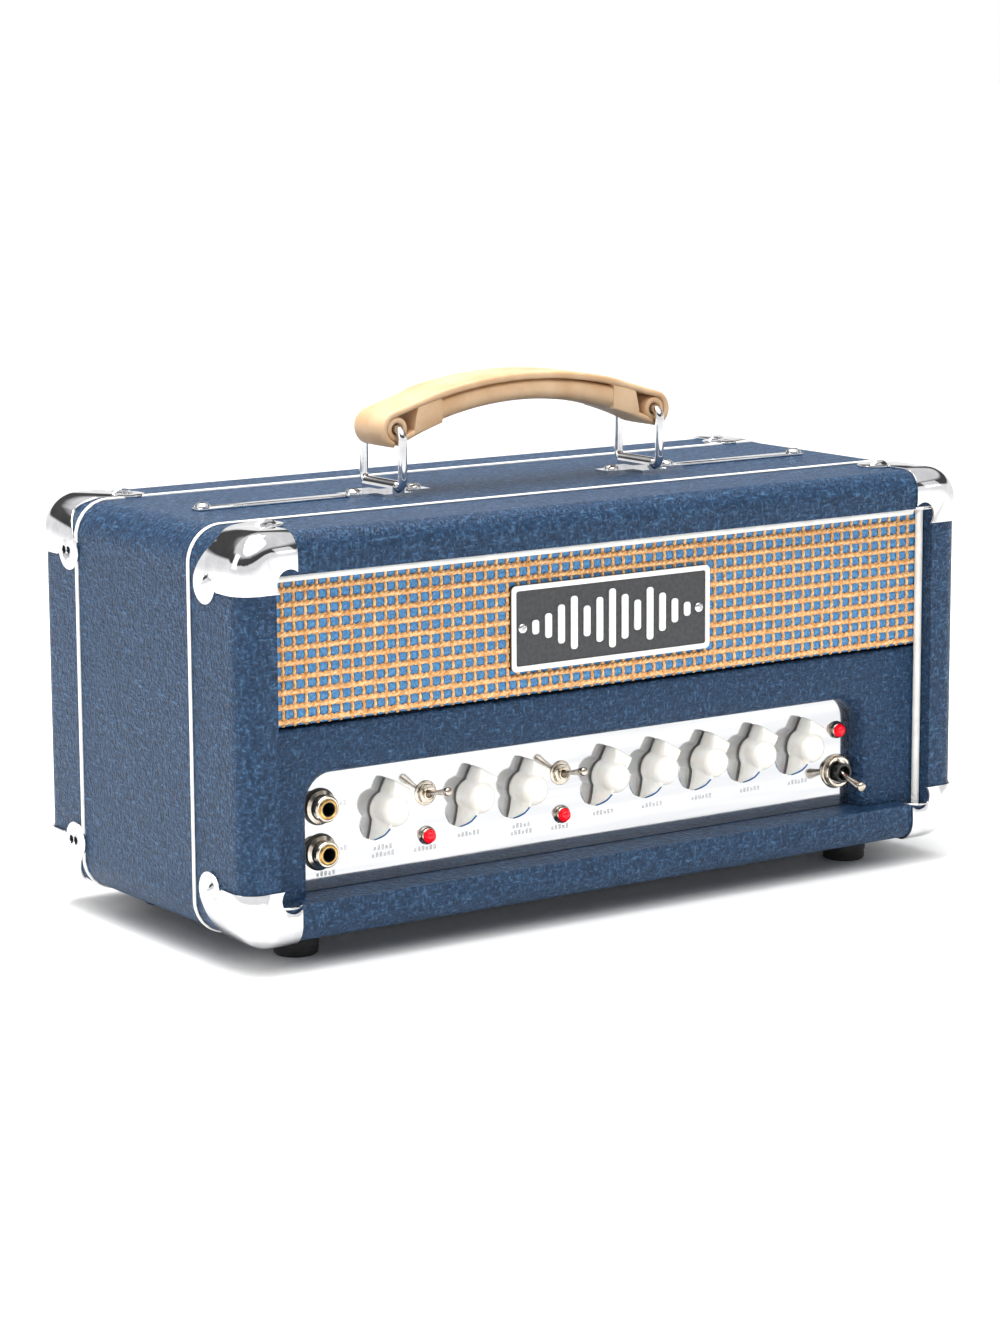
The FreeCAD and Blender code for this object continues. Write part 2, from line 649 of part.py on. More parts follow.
plate_body = panel_body("PlateBody", "-depth / 2 + recess + baffle + plate")
plate_face = sketch(plate_body, "PlateFace")
rectangle(plate_face, "width / 2 - chassis_wide / 2", CHASSIS_LOW, "chassis_wide", "chassis_tall")
pad(plate_body, "PlatePad", plate_face, "plate")
plate_holes = sketch(plate_body, "PlateHoles")
for x, z, radius in HOLES:
    circle(plate_holes, f"width / 2 + {x:.3f}", f"base + {z:.3f}", f"{radius:.3f}")
pocket(plate_body, "PlateHolesCut", plate_holes)
node(plate_body, "front_panel")

# Plates of the welded chassis: (sizes), (lowest corner), in the sheet's words.
run_long = "(chassis_back + depth / 2 - recess - baffle - plate)"
run_start = "-depth / 2 + recess + baffle + plate"
plates = {
    "ChassisTop": (("chassis_wide", run_long, "steel"),
                   ("-chassis_wide / 2", run_start, f"{CHASSIS_LOW} + chassis_tall - steel")),
    "ChassisFront": (("chassis_wide", "steel", "chassis_tall - steel"),
                     ("-chassis_wide / 2", run_start, CHASSIS_LOW)),
    "ChassisRear": (("chassis_wide", "steel", "chassis_tall - steel"),
                    ("-chassis_wide / 2", "chassis_back - steel", CHASSIS_LOW)),
}
for name, left in (("Left", "-chassis_wide / 2"), ("Right", "chassis_wide / 2 - steel")):
    plates["ChassisEnd" + name] = (
        ("steel", f"{run_long} - 2 * steel", "chassis_tall - steel"),
        (left, f"{run_start} + steel", CHASSIS_LOW))
for name, left in (("Left", "-chassis_wide / 2 + steel"),
                   ("Right", "chassis_wide / 2 - steel - flange")):
    plates["ChassisFlange" + name] = (
        ("flange", f"{run_long} - 2 * steel", "steel"), (left, f"{run_start} + steel", CHASSIS_LOW))
tray = doc.addObject("Part::Compound", "ChassisWalls")
tray.Links = [box(name, sizes, corner) for name, (sizes, corner) in plates.items()]

VALVES = {"preamp_valves": [(-60, 20), (-20, 20), (20, 20)], "power_valves": [(-40, -25), (5, -25)]}
inlet_x, inlet_z = 130, d.base + 50
SPEAKER_JACKS = [(-140, d.base + 50), (-112, d.base + 50), (-84, d.base + 50)]
cuts = [Part.makeCylinder(9.6, 10, Vector(x, y, chassis_top - 5))
        for places in VALVES.values() for x, y in places]
cuts += [put(Part.makeCylinder(radius, 6), (x, wall_y - 2, d.base + z), "y")
         for x, z, radius in HOLES]
cuts.append(slab((inlet_x - 14.2, inlet_x + 14.2), (back_y - 5, back_y + 5),
                 (inlet_z - 10.7, inlet_z + 10.7)))
cuts += [put(Part.makeCylinder(4.8, 10), (x, back_y - 5, z), "y") for x, z in SPEAKER_JACKS]
chassis_cuts = feature("ChassisCuts", Part.makeCompound(cuts))
drilled("ChassisTray", cut("ChassisCut", tray, chassis_cuts), "chassis_tray")
bolt = turned([(0, d.base), (4.0, d.base), (4.0, d.base + 2.6), (BOLT_RADIUS, d.base + 2.6),
               (BOLT_RADIUS, chassis_low + 6), (0, chassis_low + 6)])
nut = turned([(BOLT_RADIUS + 0.02, chassis_low + d.steel), (3.6, chassis_low + d.steel),
              (3.6, chassis_low + d.steel + 3), (BOLT_RADIUS + 0.02, chassis_low + d.steel + 3)])
node(feature("ChassisBolts", Part.makeCompound(
    [put(piece, (x, y, 0)) for x, y in bolt_places for piece in (bolt, nut)])), "chassis_bolts")

# ---------------------------------------------------------------- front controls

HUB, HUB_HIGH, NOSE, TAIL = 7.8, 11.0, 16.5, 13.0
BAR_HALF, TAIL_HALF, NOSE_HALF, NOSE_ROOT = 5.8, 5.2, 1.3, 8.5
NOSE_LOW, NOSE_CREST = 4.0, 6.0  # height of the nose's tip, and where its slope meets the top


def knob(x):
    """Pointer knob and its spindle, nose up, then turned to its lowest mark."""
    back, deep = -d.knob_gap, d.knob_high
    half = [(NOSE_HALF, NOSE), (NOSE_HALF + 0.6, NOSE_ROOT), (BAR_HALF, 4), (BAR_HALF, 0),
            (TAIL_HALF, -TAIL)]
    outline = half + [(-u, v) for u, v in reversed(half)]
    points = [Vector(u, back, v) for u, v in outline]
    bar = Part.Face(Part.makePolygon(points + points[:1])).extrude(Vector(0, -deep, 0))
    slope = [Vector(-HUB, back - NOSE_LOW, NOSE + 1), Vector(-HUB, back - deep - 1, NOSE_CREST),
             Vector(-HUB, back - deep - 1, NOSE + 1)]
    slope = Part.Face(Part.makePolygon(slope + slope[:1])).extrude(Vector(2 * HUB, 0, 0))
    hub = put(Part.makeCylinder(HUB, HUB_HIGH), (0, back, 0), "-y")
    skirt = put(Part.makeCylinder(6.3, 7), (0, back + 0.1, 0), "-y")
    shaft = put(Part.makeCylinder(d.spindle, deep + 8), (0, 11, 0), "-y")
    form = bar.cut(slope).fuse(hub).cut(skirt).fuse(shaft).removeSplitter()
    form.Placement = Placement(Vector(x, panel_y, d.base + d.knob_row),
                               Rotation(Vector(0, 1, 0), -KNOB_REST))
    return form


for label, x in KNOBS.items():
    node(feature(label.title().replace("_", ""), knob(x)), label)

pot_case = Part.makeCylinder(8.5, 9, Vector(0, 0, -9 - d.plate - d.steel))
pot_neck = Part.makeCylinder(d.pot_bushing, 6 + d.plate + d.steel,
                             Vector(0, 0, -d.plate - d.steel))
pot_bore = Part.makeCylinder(d.spindle + d.running, 40, Vector(0, 0, -11.2))
pot = pot_case.fuse(pot_neck).cut(pot_bore).removeSplitter()
node(feature("Potentiometers", Part.makeCompound(
    [put(pot, (x, panel_y, d.base + d.knob_row), "-y") for x in KNOBS.values()])),
    "potentiometers")

jack_reach = 8.5
jack_deep = d.plate + d.steel
JACK_CASE = (18, 18, 24)
jack = Part.makeBox(*JACK_CASE, Vector(-9, -9, -JACK_CASE[2] - jack_deep)).fuse(
    Part.makeCylinder(d.jack_bushing, jack_reach + jack_deep, Vector(0, 0, -jack_deep)))
jack_hole = Part.makeCylinder(d.jack_bore, 60, Vector(0, 0, -jack_deep - 22))
jack = jack.cut(jack_hole).removeSplitter()
jack_spots = [(-d.jack_left, panel_y, d.base + row) for row in (d.upper_row, d.lower_row)]
node(feature("InputJacks", Part.makeCompound([put(jack, spot, "-y") for spot in jack_spots])),
     "input_jacks")
jack_nut = turned([(d.jack_bushing + 0.02, 0), (8, 0), (8, 2.4), (6.4, 3.2), (6.4, 7.2),
                   (5.8, 7.8), (d.jack_bushing + 0.02, 7.8)])
node(feature("InputJackNuts", Part.makeCompound([put(jack_nut, spot, "-y")
                                                 for spot in jack_spots])), "input_jack_nuts")


def lever(reach, root, tip, knuckle):
    """Bat lever along Z with its pivot ball at the origin."""
    shape = Part.makeCone(root, 0.7 * tip, reach).fuse(Part.makeSphere(knuckle))
    return shape.fuse(Part.makeSphere(tip, Vector(0, 0, reach))).removeSplitter()


def switch(neck, neck_long, case, knuckle, pivot):
    """Switch case behind the panel and the neck that holds the lever's ball."""
    deep = d.plate + d.steel
    wide, high, long = case
    body = Part.makeBox(wide, high, long, Vector(-wide / 2, -high / 2, -long - deep))
    body = body.fuse(Part.makeCylinder(neck, neck_long + deep, Vector(0, 0, -deep)))
    mouth = Part.makeCone(knuckle + d.running, knuckle + 0.5, neck_long - pivot + 0.01,
                          Vector(0, 0, pivot))
    seat = Part.makeCylinder(knuckle + d.running, knuckle + 0.2,
                             Vector(0, 0, pivot - knuckle - 0.2))
    return body.cut(mouth).cut(seat).removeSplitter()


TOGGLE_BALL, MAINS_BALL, TOGGLE_NECK = 2.2, 3.2, 4.0
toggle = switch(3.0, TOGGLE_NECK, (8, 13, 10), TOGGLE_BALL, d.toggle_pivot)
toggle_spots = {label: (x, panel_y, d.base + d.upper_row - 1) for label, x in TOGGLES.items()}
node(feature("ToggleBodies", Part.makeCompound([put(toggle, spot, "-y")
                                                for spot in toggle_spots.values()])),
     "toggle_bodies")
hexagon = [(4.6 * math.cos(math.radians(a)), 4.6 * math.sin(math.radians(a)))
           for a in range(0, 360, 60)]
toggle_nut = prism(hexagon, "z", 0.5, 2.0).fuse(Part.makeCylinder(5, 0.5)).cut(
    Part.makeCylinder(3.02, 5, Vector(0, 0, -1)))
toggle_lever = lever(d.toggle_reach, 1.1, 2.4, TOGGLE_BALL)
for label, spot in toggle_spots.items():
    stick = toggle_lever.copy()
    stick.Placement = Placement(Vector(spot[0], panel_y - d.toggle_pivot, spot[2]),
                                Rotation(Vector(1, 0, 0), 90 - d.toggle_tilt))
    node(feature(label.title().replace("_", ""), stick), label)

mains_spot = (d.switch_right, panel_y, d.base + d.lower_row)
mains_neck, mains_pivot = 7.0, 3.4
mains = switch(5.0, mains_neck, (18, 28, 26), MAINS_BALL, mains_pivot)
node(feature("MainsSwitchBody", put(mains, mains_spot, "-y")), "mains_switch_body")
mains_nut = turned([(5.02, 0), (8, 0), (8, 1.2), (7.6, 1.8), (6.4, 2.0), (6.2, 6.6), (5.6, 7.0),
                    (5.02, 7.0)])
switch_nuts = [put(toggle_nut, spot, "-y") for spot in toggle_spots.values()]
switch_nuts.append(put(mains_nut, mains_spot, "-y"))
node(feature("SwitchNuts", Part.makeCompound(switch_nuts)), "switch_nuts")
mains_stick = lever(d.mains_reach, 1.5, 2.5, MAINS_BALL)
mains_stick.Placement = Placement(Vector(mains_spot[0], panel_y - mains_pivot, mains_spot[2]),
                                  Rotation(Vector(1, 0, 0), 90 + d.mains_tilt))
node(feature("MainsSwitchLever", mains_stick), "mains_switch_lever")

lamp_spots = [(x, panel_y, d.base + z) for x, z in LAMPS]
bezel = turned([(3.3, 0), (4.4, 0), (4.4, 1.0), (4.0, 3.4), (3.3, 3.4)])
lens = turned([(0, -6), (2.5, -6), (2.5, 0), (3.25, 0), (3.25, 3.2), (2.9, 4.6), (1.8, 5.6),
               (0, 6.0)])
node(feature("LampBezels", Part.makeCompound([put(bezel, spot, "-y") for spot in lamp_spots])),
     "lamp_bezels")
node(feature("LampLenses", Part.makeCompound([put(lens, spot, "-y") for spot in lamp_spots])),
     "lamp_lenses")

# ---------------------------------------------------------------- inside and rear

BOARD_DROP, BOARD_THICK, VALVE_WINDOW = 14.0, 1.6, 13.0
board_z = chassis_top - BOARD_DROP
node(feature("CircuitBoard", slab((-120, 100), (-45, 45), (board_z, board_z + BOARD_THICK)).cut(
    Part.makeCompound([Part.makeCylinder(VALVE_WINDOW, 20, Vector(x, y, board_z - 5))
                       for places in VALVES.values() for x, y in places]))), "circuit_board")
CAN_RADIUS, CAN_TALL, CAN_SPOTS = 8.0, 22.0, (-105, -80, 55, 80)
capacitor = Part.makeCylinder(CAN_RADIUS, CAN_TALL)
node(feature("Capacitors", Part.makeCompound(
    [put(capacitor, (x, -30, board_z - CAN_TALL)) for x in CAN_SPOTS])), "capacitors")


def transformer(x, y, wide, deep, high):
    """Laminated core with a winding bulging from its window."""
    core = slab((x - wide / 2, x + wide / 2), (y - deep / 4, y + deep / 4),
                (chassis_top, chassis_top + high))
    winding = slab((x - wide / 3, x + wide / 3), (y - deep / 2, y + deep / 2),
                   (chassis_top + high / 6, chassis_top + 5 * high / 6))
    feet = slab((x - wide / 2 - 8, x + wide / 2 + 8), (y - deep / 4, y + deep / 4),
                (chassis_top, chassis_top + 2))
    return core.fuse([winding, feet]).removeSplitter()


node(feature("MainsTransformer", transformer(115, 8, 72, 66, 62)), "mains_transformer")
node(feature("OutputTransformer", transformer(-130, 8, 56, 50, 48)), "output_transformer")
valve_glass = {
    "preamp_valves": turned([(0, 0), (10.5, 0), (10.5, 38), (8.5, 44), (2.2, 46), (1.2, 51),
                             (0, 51)]),
    "power_valves": turned([(0, 0), (10.8, 0), (10.8, 52), (8.8, 58), (2.2, 60), (1.2, 66),
                            (0, 66)]),
}
SOCKET_TALL = 7
for label, places in VALVES.items():
    made = [put(valve_glass[label], (x, y, chassis_top + SOCKET_TALL)) for x, y in places]
    node(feature(label.title().replace("_", ""), Part.makeCompound(made)), label)
socket = turned([(0, -8), (9.4, -8), (9.4, 0), (12.5, 0), (12.5, SOCKET_TALL), (0, SOCKET_TALL)])
node(feature("ValveSockets", Part.makeCompound(
    [put(socket, (x, y, chassis_top)) for places in VALVES.values() for x, y in places])),
    "valve_sockets")

rear_low = chassis_top + 0.6
rear_high = top - d.wall - 0.2
rear_x = d.width / 2 - d.wall - 0.3
SLOT_LONG, SLOT_TALL, SLOT_PITCH, SLOT_ROWS, SLOT_RISE = 22.0, 5.0, 28, 6, 10.0
slots = [slab((x - SLOT_LONG / 2, x + SLOT_LONG / 2), (back_y - 5, back_y + 5),
              (z - SLOT_TALL / 2, z + SLOT_TALL / 2))
         for x in range(-6 * SLOT_PITCH, 6 * SLOT_PITCH + 1, SLOT_PITCH)
         for z in [rear_low + 20 + SLOT_RISE * i for i in range(SLOT_ROWS)]]
CLEAT = 14.0  # square wooden strip behind each end of the panel
rear_sheet = slab((-rear_x, rear_x), (back_y - d.steel, back_y), (rear_low, rear_high))
rear_screw_spots = [(side * (rear_x - 6), back_y, z) for side in (-1, 1)
                    for z in (rear_low + 8, rear_high - 8)]
rear_cleats = [slab(sorted((side * rear_x, side * (rear_x - CLEAT))),
                    (back_y - d.steel - CLEAT, back_y - d.steel), (rear_low, rear_high))
               for side in (-1, 1)]
rear_holes = [put(Part.makeCylinder(d.screw_shank + SHANK_CLEAR, 12.1, Vector(0, 0, -12.1)), spot,
                  "y") for spot in rear_screw_spots]
node(feature("RearVentPanel", rear_sheet.cut(slots).cut(rear_holes)), "rear_vent_panel")
node(feature("RearCleats", Part.makeCompound([cleat.cut(rear_holes) for cleat in rear_cleats])),
     "rear_cleats")
rear_screw = dome_screw(3.8, 2.2, d.screw_shank, 12)
node(feature("RearScrews", Part.makeCompound([put(rear_screw, spot, "y")
                                              for spot in rear_screw_spots])), "rear_screws")

INLET_FLANGE, INLET_CASE, INLET_MOUTH = (25, 13.5), (14, 10.5), (12.2, 8.3)  # half sizes


def inlet_block(half, start, end):
    return slab((inlet_x - half[0], inlet_x + half[0]), (back_y + start, back_y + end),
                (inlet_z - half[1], inlet_z + half[1]))


inlet = inlet_block(INLET_FLANGE, 0, 3).fuse(inlet_block(INLET_CASE, -22, 0))
inlet = inlet.cut(inlet_block(INLET_MOUTH, -14, 4))
pins = [slab((x - 1, x + 1), (back_y - 20, back_y - 2), (inlet_z + z - 2, inlet_z + z + 2))
        for x, z in ((inlet_x - 7, -2), (inlet_x, 2), (inlet_x + 7, -2))]
node(feature("MainsInlet", inlet.fuse(pins).removeSplitter()), "mains_inlet")

speaker_jack = Part.makeBox(*JACK_CASE, Vector(-9, -9, -JACK_CASE[2] - d.steel)).fuse(
    [Part.makeCylinder(4.7, 9, Vector(0, 0, -d.steel)), Part.makeCylinder(7.5, 2.6)])
speaker_jack = speaker_jack.cut(
    Part.makeCylinder(d.jack_bore, 60, Vector(0, 0, -d.steel - 22))).removeSplitter()
node(feature("SpeakerJacks", Part.makeCompound(
    [put(speaker_jack, (x, back_y, z), "y") for x, z in SPEAKER_JACKS])), "speaker_jacks")

# ---------------------------------------------------------------- check and write

doc.recompute()
for thing in doc.Objects:
    if {"Invalid", "Error"} & set(thing.State):
        raise RuntimeError(f"{thing.Name} did not build: {thing.State}")
os.makedirs("parts", exist_ok=True)
for thing in nodes:
    shape = thing.Shape
    if shape.isNull() or not shape.isValid() or not shape.Solids:
        raise RuntimeError(f"{thing.Label} has no valid solid")
    shape.exportStep(f"parts/{thing.Label}.step")
    print(f"{thing.Label}: {len(shape.Solids)} solid(s), {shape.Volume / 1000:.1f} cm3")
print(len(nodes), "nodes")
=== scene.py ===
# A small valve guitar amplifier head: looks built round its CAD frame, in metres.
import json
import math

import bmesh
import bpy
from mathutils import Matrix, Vector


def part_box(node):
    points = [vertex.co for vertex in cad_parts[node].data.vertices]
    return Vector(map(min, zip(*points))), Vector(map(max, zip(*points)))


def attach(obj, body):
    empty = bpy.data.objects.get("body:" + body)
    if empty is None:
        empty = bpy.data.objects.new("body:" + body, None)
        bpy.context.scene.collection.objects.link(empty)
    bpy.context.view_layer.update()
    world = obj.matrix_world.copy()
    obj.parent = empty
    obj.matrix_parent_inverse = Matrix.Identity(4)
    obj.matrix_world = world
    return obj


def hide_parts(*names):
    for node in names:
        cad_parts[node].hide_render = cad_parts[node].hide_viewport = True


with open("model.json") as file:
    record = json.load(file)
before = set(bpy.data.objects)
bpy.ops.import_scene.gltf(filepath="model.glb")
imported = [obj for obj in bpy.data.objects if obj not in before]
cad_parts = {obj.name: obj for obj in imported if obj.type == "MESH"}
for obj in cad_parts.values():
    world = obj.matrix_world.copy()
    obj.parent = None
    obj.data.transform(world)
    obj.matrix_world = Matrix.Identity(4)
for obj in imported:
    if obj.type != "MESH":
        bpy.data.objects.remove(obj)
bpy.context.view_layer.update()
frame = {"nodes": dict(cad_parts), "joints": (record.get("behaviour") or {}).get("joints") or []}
mm = 0.001
print("frame loaded,", len(frame["nodes"]), "nodes")


# small tools for meshes

def solidBoxes(node):
    # lowest and highest corner of every separate solid in one CAD node, left to right
    bm = bmesh.new()
    bm.from_mesh(frame["nodes"][node].data)
    bmesh.ops.remove_doubles(bm, verts=bm.verts, dist=0.001 * mm)
    left, boxes = set(bm.verts), []
    while left:
        queue, points = [left.pop()], []
        while queue:
            vert = queue.pop()
            points.append(vert.co.copy())
            for edge in vert.link_edges:
                other = edge.other_vert(vert)
                if other in left:
                    left.remove(other)
                    queue.append(other)
        boxes.append((Vector(min(p[i] for p in points) for i in range(3)),
                      Vector(max(p[i] for p in points) for i in range(3))))
    bm.free()
    return sorted(boxes, key=lambda corners: tuple(round(v, 4) for v in corners[0]))


def addPiece(name, made, finish, body="cabinet", replaces=(), sharp=38):
    # turns a bmesh or a mesh into a piece that rides on a body
    mesh = made
    if isinstance(made, bmesh.types.BMesh):
        mesh = bpy.data.meshes.new(name)
        made.to_mesh(mesh)
        made.free()
    mesh.name = name
    mesh.shade_smooth()
    mesh.set_sharp_from_angle(angle=math.radians(sharp))
    mesh.materials.clear()
    for one in finish if isinstance(finish, (list, tuple)) else [finish]:
        mesh.materials.append(one)
    piece = bpy.data.objects.new(name, mesh)
    bpy.context.scene.collection.objects.link(piece)
    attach(piece, body)
    if replaces:
        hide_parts(*replaces)
    return piece


def paint(faces, index):
    for face in faces:
        face.material_index = index


def addBlock(bm, low, high, bevel=0.0, segments=2, index=0):
    # a block between two corners with all its edges rounded
    low, high = Vector(low), Vector(high)
    place = Matrix.Translation((low + high) / 2) @ Matrix.Diagonal((*(high - low), 1))
    verts = bmesh.ops.create_cube(bm, size=1, matrix=place)["verts"]
    paint({face for vert in verts for face in vert.link_faces}, index)
    if bevel:
        edges = list({edge for vert in verts for edge in vert.link_edges})
        bmesh.ops.bevel(bm, geom=edges, offset=bevel, segments=segments, profile=0.5,
                        affect="EDGES", material=-1)


def addTurned(bm, profile, place=None, steps=32, index=0):
    # spins (radius, height) points, given in mm, about Z, then moves the result
    points = [bm.verts.new((radius * mm, 0, height * mm)) for radius, height in profile]
    edges = [bm.edges.new(pair) for pair in zip(points, points[1:])]
    before = set(bm.faces)
    bmesh.ops.spin(bm, geom=points + edges, cent=(0, 0, 0), axis=(0, 0, 1),
                   angle=math.tau, steps=steps, use_merge=True)
    verts = list({vert for face in set(bm.faces) - before for vert in face.verts})
    bmesh.ops.remove_doubles(bm, verts=verts, dist=0.002 * mm)
    faces = [face for face in bm.faces if face not in before]
    bmesh.ops.recalc_face_normals(bm, faces=faces)
    paint(faces, index)
    if place:
        verts = list({vert for face in faces for vert in face.verts})
        bmesh.ops.transform(bm, matrix=place, verts=verts)


def addSweep(bm, stations, closed=False, index=0):
    # joins closed rings of points, each station being one ring, and caps the ends
    before = set(bm.faces)
    rings = [[bm.verts.new(point) for point in station] for station in stations]
    loops = [[bm.edges.new((ring[i - 1], ring[i])) for i in range(len(ring))] for ring in rings]
    following = loops[1:] + loops[:1] if closed else loops[1:]
    for first, second in zip(loops, following):
        bmesh.ops.bridge_loops(bm, edges=first + second)
    if not closed:
        bm.faces.new(rings[0])
        bm.faces.new(rings[-1])
    faces = [face for face in bm.faces if face not in before]
    bmesh.ops.recalc_face_normals(bm, faces=faces)
    paint(faces, index)


def roundSection(radius, sides):
    return [(radius * math.cos(math.tau * i / sides), radius * math.sin(math.tau * i / sides))
            for i in range(sides)]


def alongPath(points, section, across, closed=False):
    # rings of a section (across, outwards) that follow a path in the plane square to across
    across = Vector(across)
    rings = []
    for i, point in enumerate(points):
        before = points[i - 1] if i or closed else point
        after = points[(i + 1) % len(points)] if i + 1 < len(points) or closed else point
        out = (after - before).cross(across).normalized()
        rings.append([point + across * a + out * b for a, b in section])
    return rings


def arcPoints(centre, radius, first, last, steps, y=0.0):
    # points of an arc in the XZ plane, angles in degrees
    return [Vector((centre[0] + radius * math.cos(math.radians(a)), y,
                    centre[1] + radius * math.sin(math.radians(a))))
            for a in (first + (last - first) * i / steps for i in range(steps + 1))]


def facing(direction, at):
    # a matrix that turns local Z to a direction and moves the origin to a point
    return Matrix.Translation(at) @ Vector(direction).to_track_quat("Z", "Y").to_matrix().to_4x4()


def copiesOf(source, places):
    # one bmesh that holds a copy of a mesh at every place
    bm = bmesh.new()
    for place in places:
        start = len(bm.verts)
        bm.from_mesh(source)
        bm.verts.ensure_lookup_table()
        bmesh.ops.transform(bm, matrix=place, verts=bm.verts[start:])
    return bm


def meshThrough(bm, *modifiers):
    # a mesh that has been through a row of (kind, settings) modifiers
    mesh = bpy.data.meshes.new("scratch")
    bm.to_mesh(mesh)
    bm.free()
    thing = bpy.data.objects.new("scratch", mesh)
    bpy.context.scene.collection.objects.link(thing)
    for kind, settings in modifiers:
        modifier = thing.modifiers.new(kind, kind)
        for key, value in settings.items():
            setattr(modifier, key, value)
    made = bpy.data.meshes.new_from_object(
        thing.evaluated_get(bpy.context.evaluated_depsgraph_get()))
    bpy.data.objects.remove(thing)
    return made


def softenedCopy(node, radius, segments=2, angle=35):
    # a merged copy of a CAD node with its hard edges rounded
    bm = bmesh.new()
    bm.from_mesh(frame["nodes"][node].data)
    bmesh.ops.remove_doubles(bm, verts=bm.verts, dist=0.001 * mm)
    bmesh.ops.dissolve_limit(bm, angle_limit=math.radians(1), verts=bm.verts, edges=bm.edges)
    edges = [edge for edge in bm.edges
             if edge.is_manifold and edge.calc_face_angle(0) > math.radians(angle)]
    bmesh.ops.bevel(bm, geom=edges, offset=radius * mm, segments=segments, profile=0.5,
                    affect="EDGES", material=-1)
    return bm


# small tools for materials

def colour(code):
    # sRGB hex to the linear RGBA that the shaders take
    channels = [int(code[i:i + 2], 16) / 255 for i in (1, 3, 5)]
    return (*(c / 12.92 if c <= 0.04045 else ((c + 0.055) / 1.055) ** 2.4 for c in channels), 1)


def grey(value):
    return (value, value, value, 1)


def addNode(tree, kind, settings=None, inputs=None, stops=()):
    # adds a shader node, sets it up, links the inputs that are sockets, fills a colour ramp
    node = tree.nodes.new("ShaderNode" + kind)
    for key, value in (settings or {}).items():
        setattr(node, key, value)
    for key, value in (inputs or {}).items():
        if isinstance(value, bpy.types.NodeSocket):
            tree.links.new(value, node.inputs[key])
        else:
            node.inputs[key].default_value = value
    for i, (place, shade) in enumerate(stops):
        element = node.color_ramp.elements[i] if i < 2 else node.color_ramp.elements.new(place)
        element.position, element.color = place, shade
    return node


def newFinish(name, settings, shades=None, grain=None):
    # a Principled material: settings go on the shader's sockets; shades is a mottle of
    # (dark, light, feature in mm, stretch); grain is a bump of (feature in mm, height in mm,
    # stretch); both use Object coordinates
    material = bpy.data.materials.new(name)
    material.use_nodes = True
    tree = material.node_tree
    shader = tree.nodes["Principled BSDF"]
    for key, value in settings.items():
        shader.inputs[key].default_value = value
    place = addNode(tree, "TexCoord").outputs["Object"]
    for role, pattern in (("shade", shades), ("bump", grain)):
        if not pattern:
            continue
        feature, stretch = (pattern[2], pattern[3]) if role == "shade" else (pattern[0],
                                                                             pattern[2])
        where = addNode(tree, "Mapping", None, {"Vector": place, "Scale": stretch})
        value = addNode(tree, "TexNoise", None,
                        {"Vector": where.outputs["Vector"], "Scale": 1 / (feature * mm),
                         "Detail": 3.0}).outputs["Fac"]
        if role == "shade":
            ramp = addNode(tree, "ValToRGB", None, {"Fac": value},
                           [(0.36, colour(pattern[0])), (0.64, colour(pattern[1]))])
            tree.links.new(ramp.outputs["Color"], shader.inputs["Base Color"])
        else:
            bump = addNode(tree, "Bump", None, {"Height": value, "Distance": pattern[1] * mm,
                                                "Strength": 0.6})
            tree.links.new(bump.outputs["Normal"], shader.inputs["Normal"])
    return material


even = (1, 1, 1)


# camera, floor and light

cameraSettings = {
    "place": (-1.04181, -1.49638, 0.43879), "turnRight": 0.605, "tiltDown": 0.1765,
    "roll": -0.0051, "lens": 99.80,
}
lens = bpy.data.cameras.new("studioCamera")
lens.lens = cameraSettings["lens"]
lens.sensor_width = 36
lens.clip_start, lens.clip_end = 0.05, 60
camera = bpy.data.objects.new("studioCamera", lens)
bpy.context.scene.collection.objects.link(camera)
camera.matrix_world = (Matrix.Translation(cameraSettings["place"])
                       @ Matrix.Rotation(-cameraSettings["turnRight"], 4, "Z")
                       @ Matrix.Rotation(math.pi / 2 - cameraSettings["tiltDown"], 4, "X")
                       @ Matrix.Rotation(cameraSettings["roll"], 4, "Z"))
bpy.context.scene.camera = camera

studioSettings = {
    "floorColour": "#f6f6f5", "floorHalf": 14.0,
    # brightness of the studio's walls from straight down to straight overhead
    "walls": [(0.0, 1.0), (0.5, 1.0), (0.61, 1.0), (0.64, 0.07), (0.75, 0.09), (0.81, 0.85),
              (1.0, 0.85)],
    "wallStrength": 1.0, "sunStrength": 1.7, "sunSoftness": 60.0,
    # name: place, aim, width, height, watts
    "lights": {
        "overheadPanel": ((-0.2, 0.2, 1.8), (0, 0, 0.1), 1.6, 1.0, 38),
        "leftPanel": ((-2.2, 0.3, 1.0), (0, 0, 0.1), 1.0, 1.4, 6),
        "rightFront": ((1.8, -2.2, 1.1), (0, 0, 0.1), 1.0, 1.2, 3),
    },
}
paintedFloor = newFinish("paintedFloor", {"Roughness": 0.9},
                         (studioSettings["floorColour"], "#f9f9f8", 400, even))
floorMesh = bmesh.new()
bmesh.ops.create_grid(floorMesh, x_segments=1, y_segments=1, size=studioSettings["floorHalf"])
floorData = bpy.data.meshes.new("floor")
floorMesh.to_mesh(floorData)
floorMesh.free()
floorData.materials.append(paintedFloor)
floor = bpy.data.objects.new("floor", floorData)
bpy.context.scene.collection.objects.link(floor)

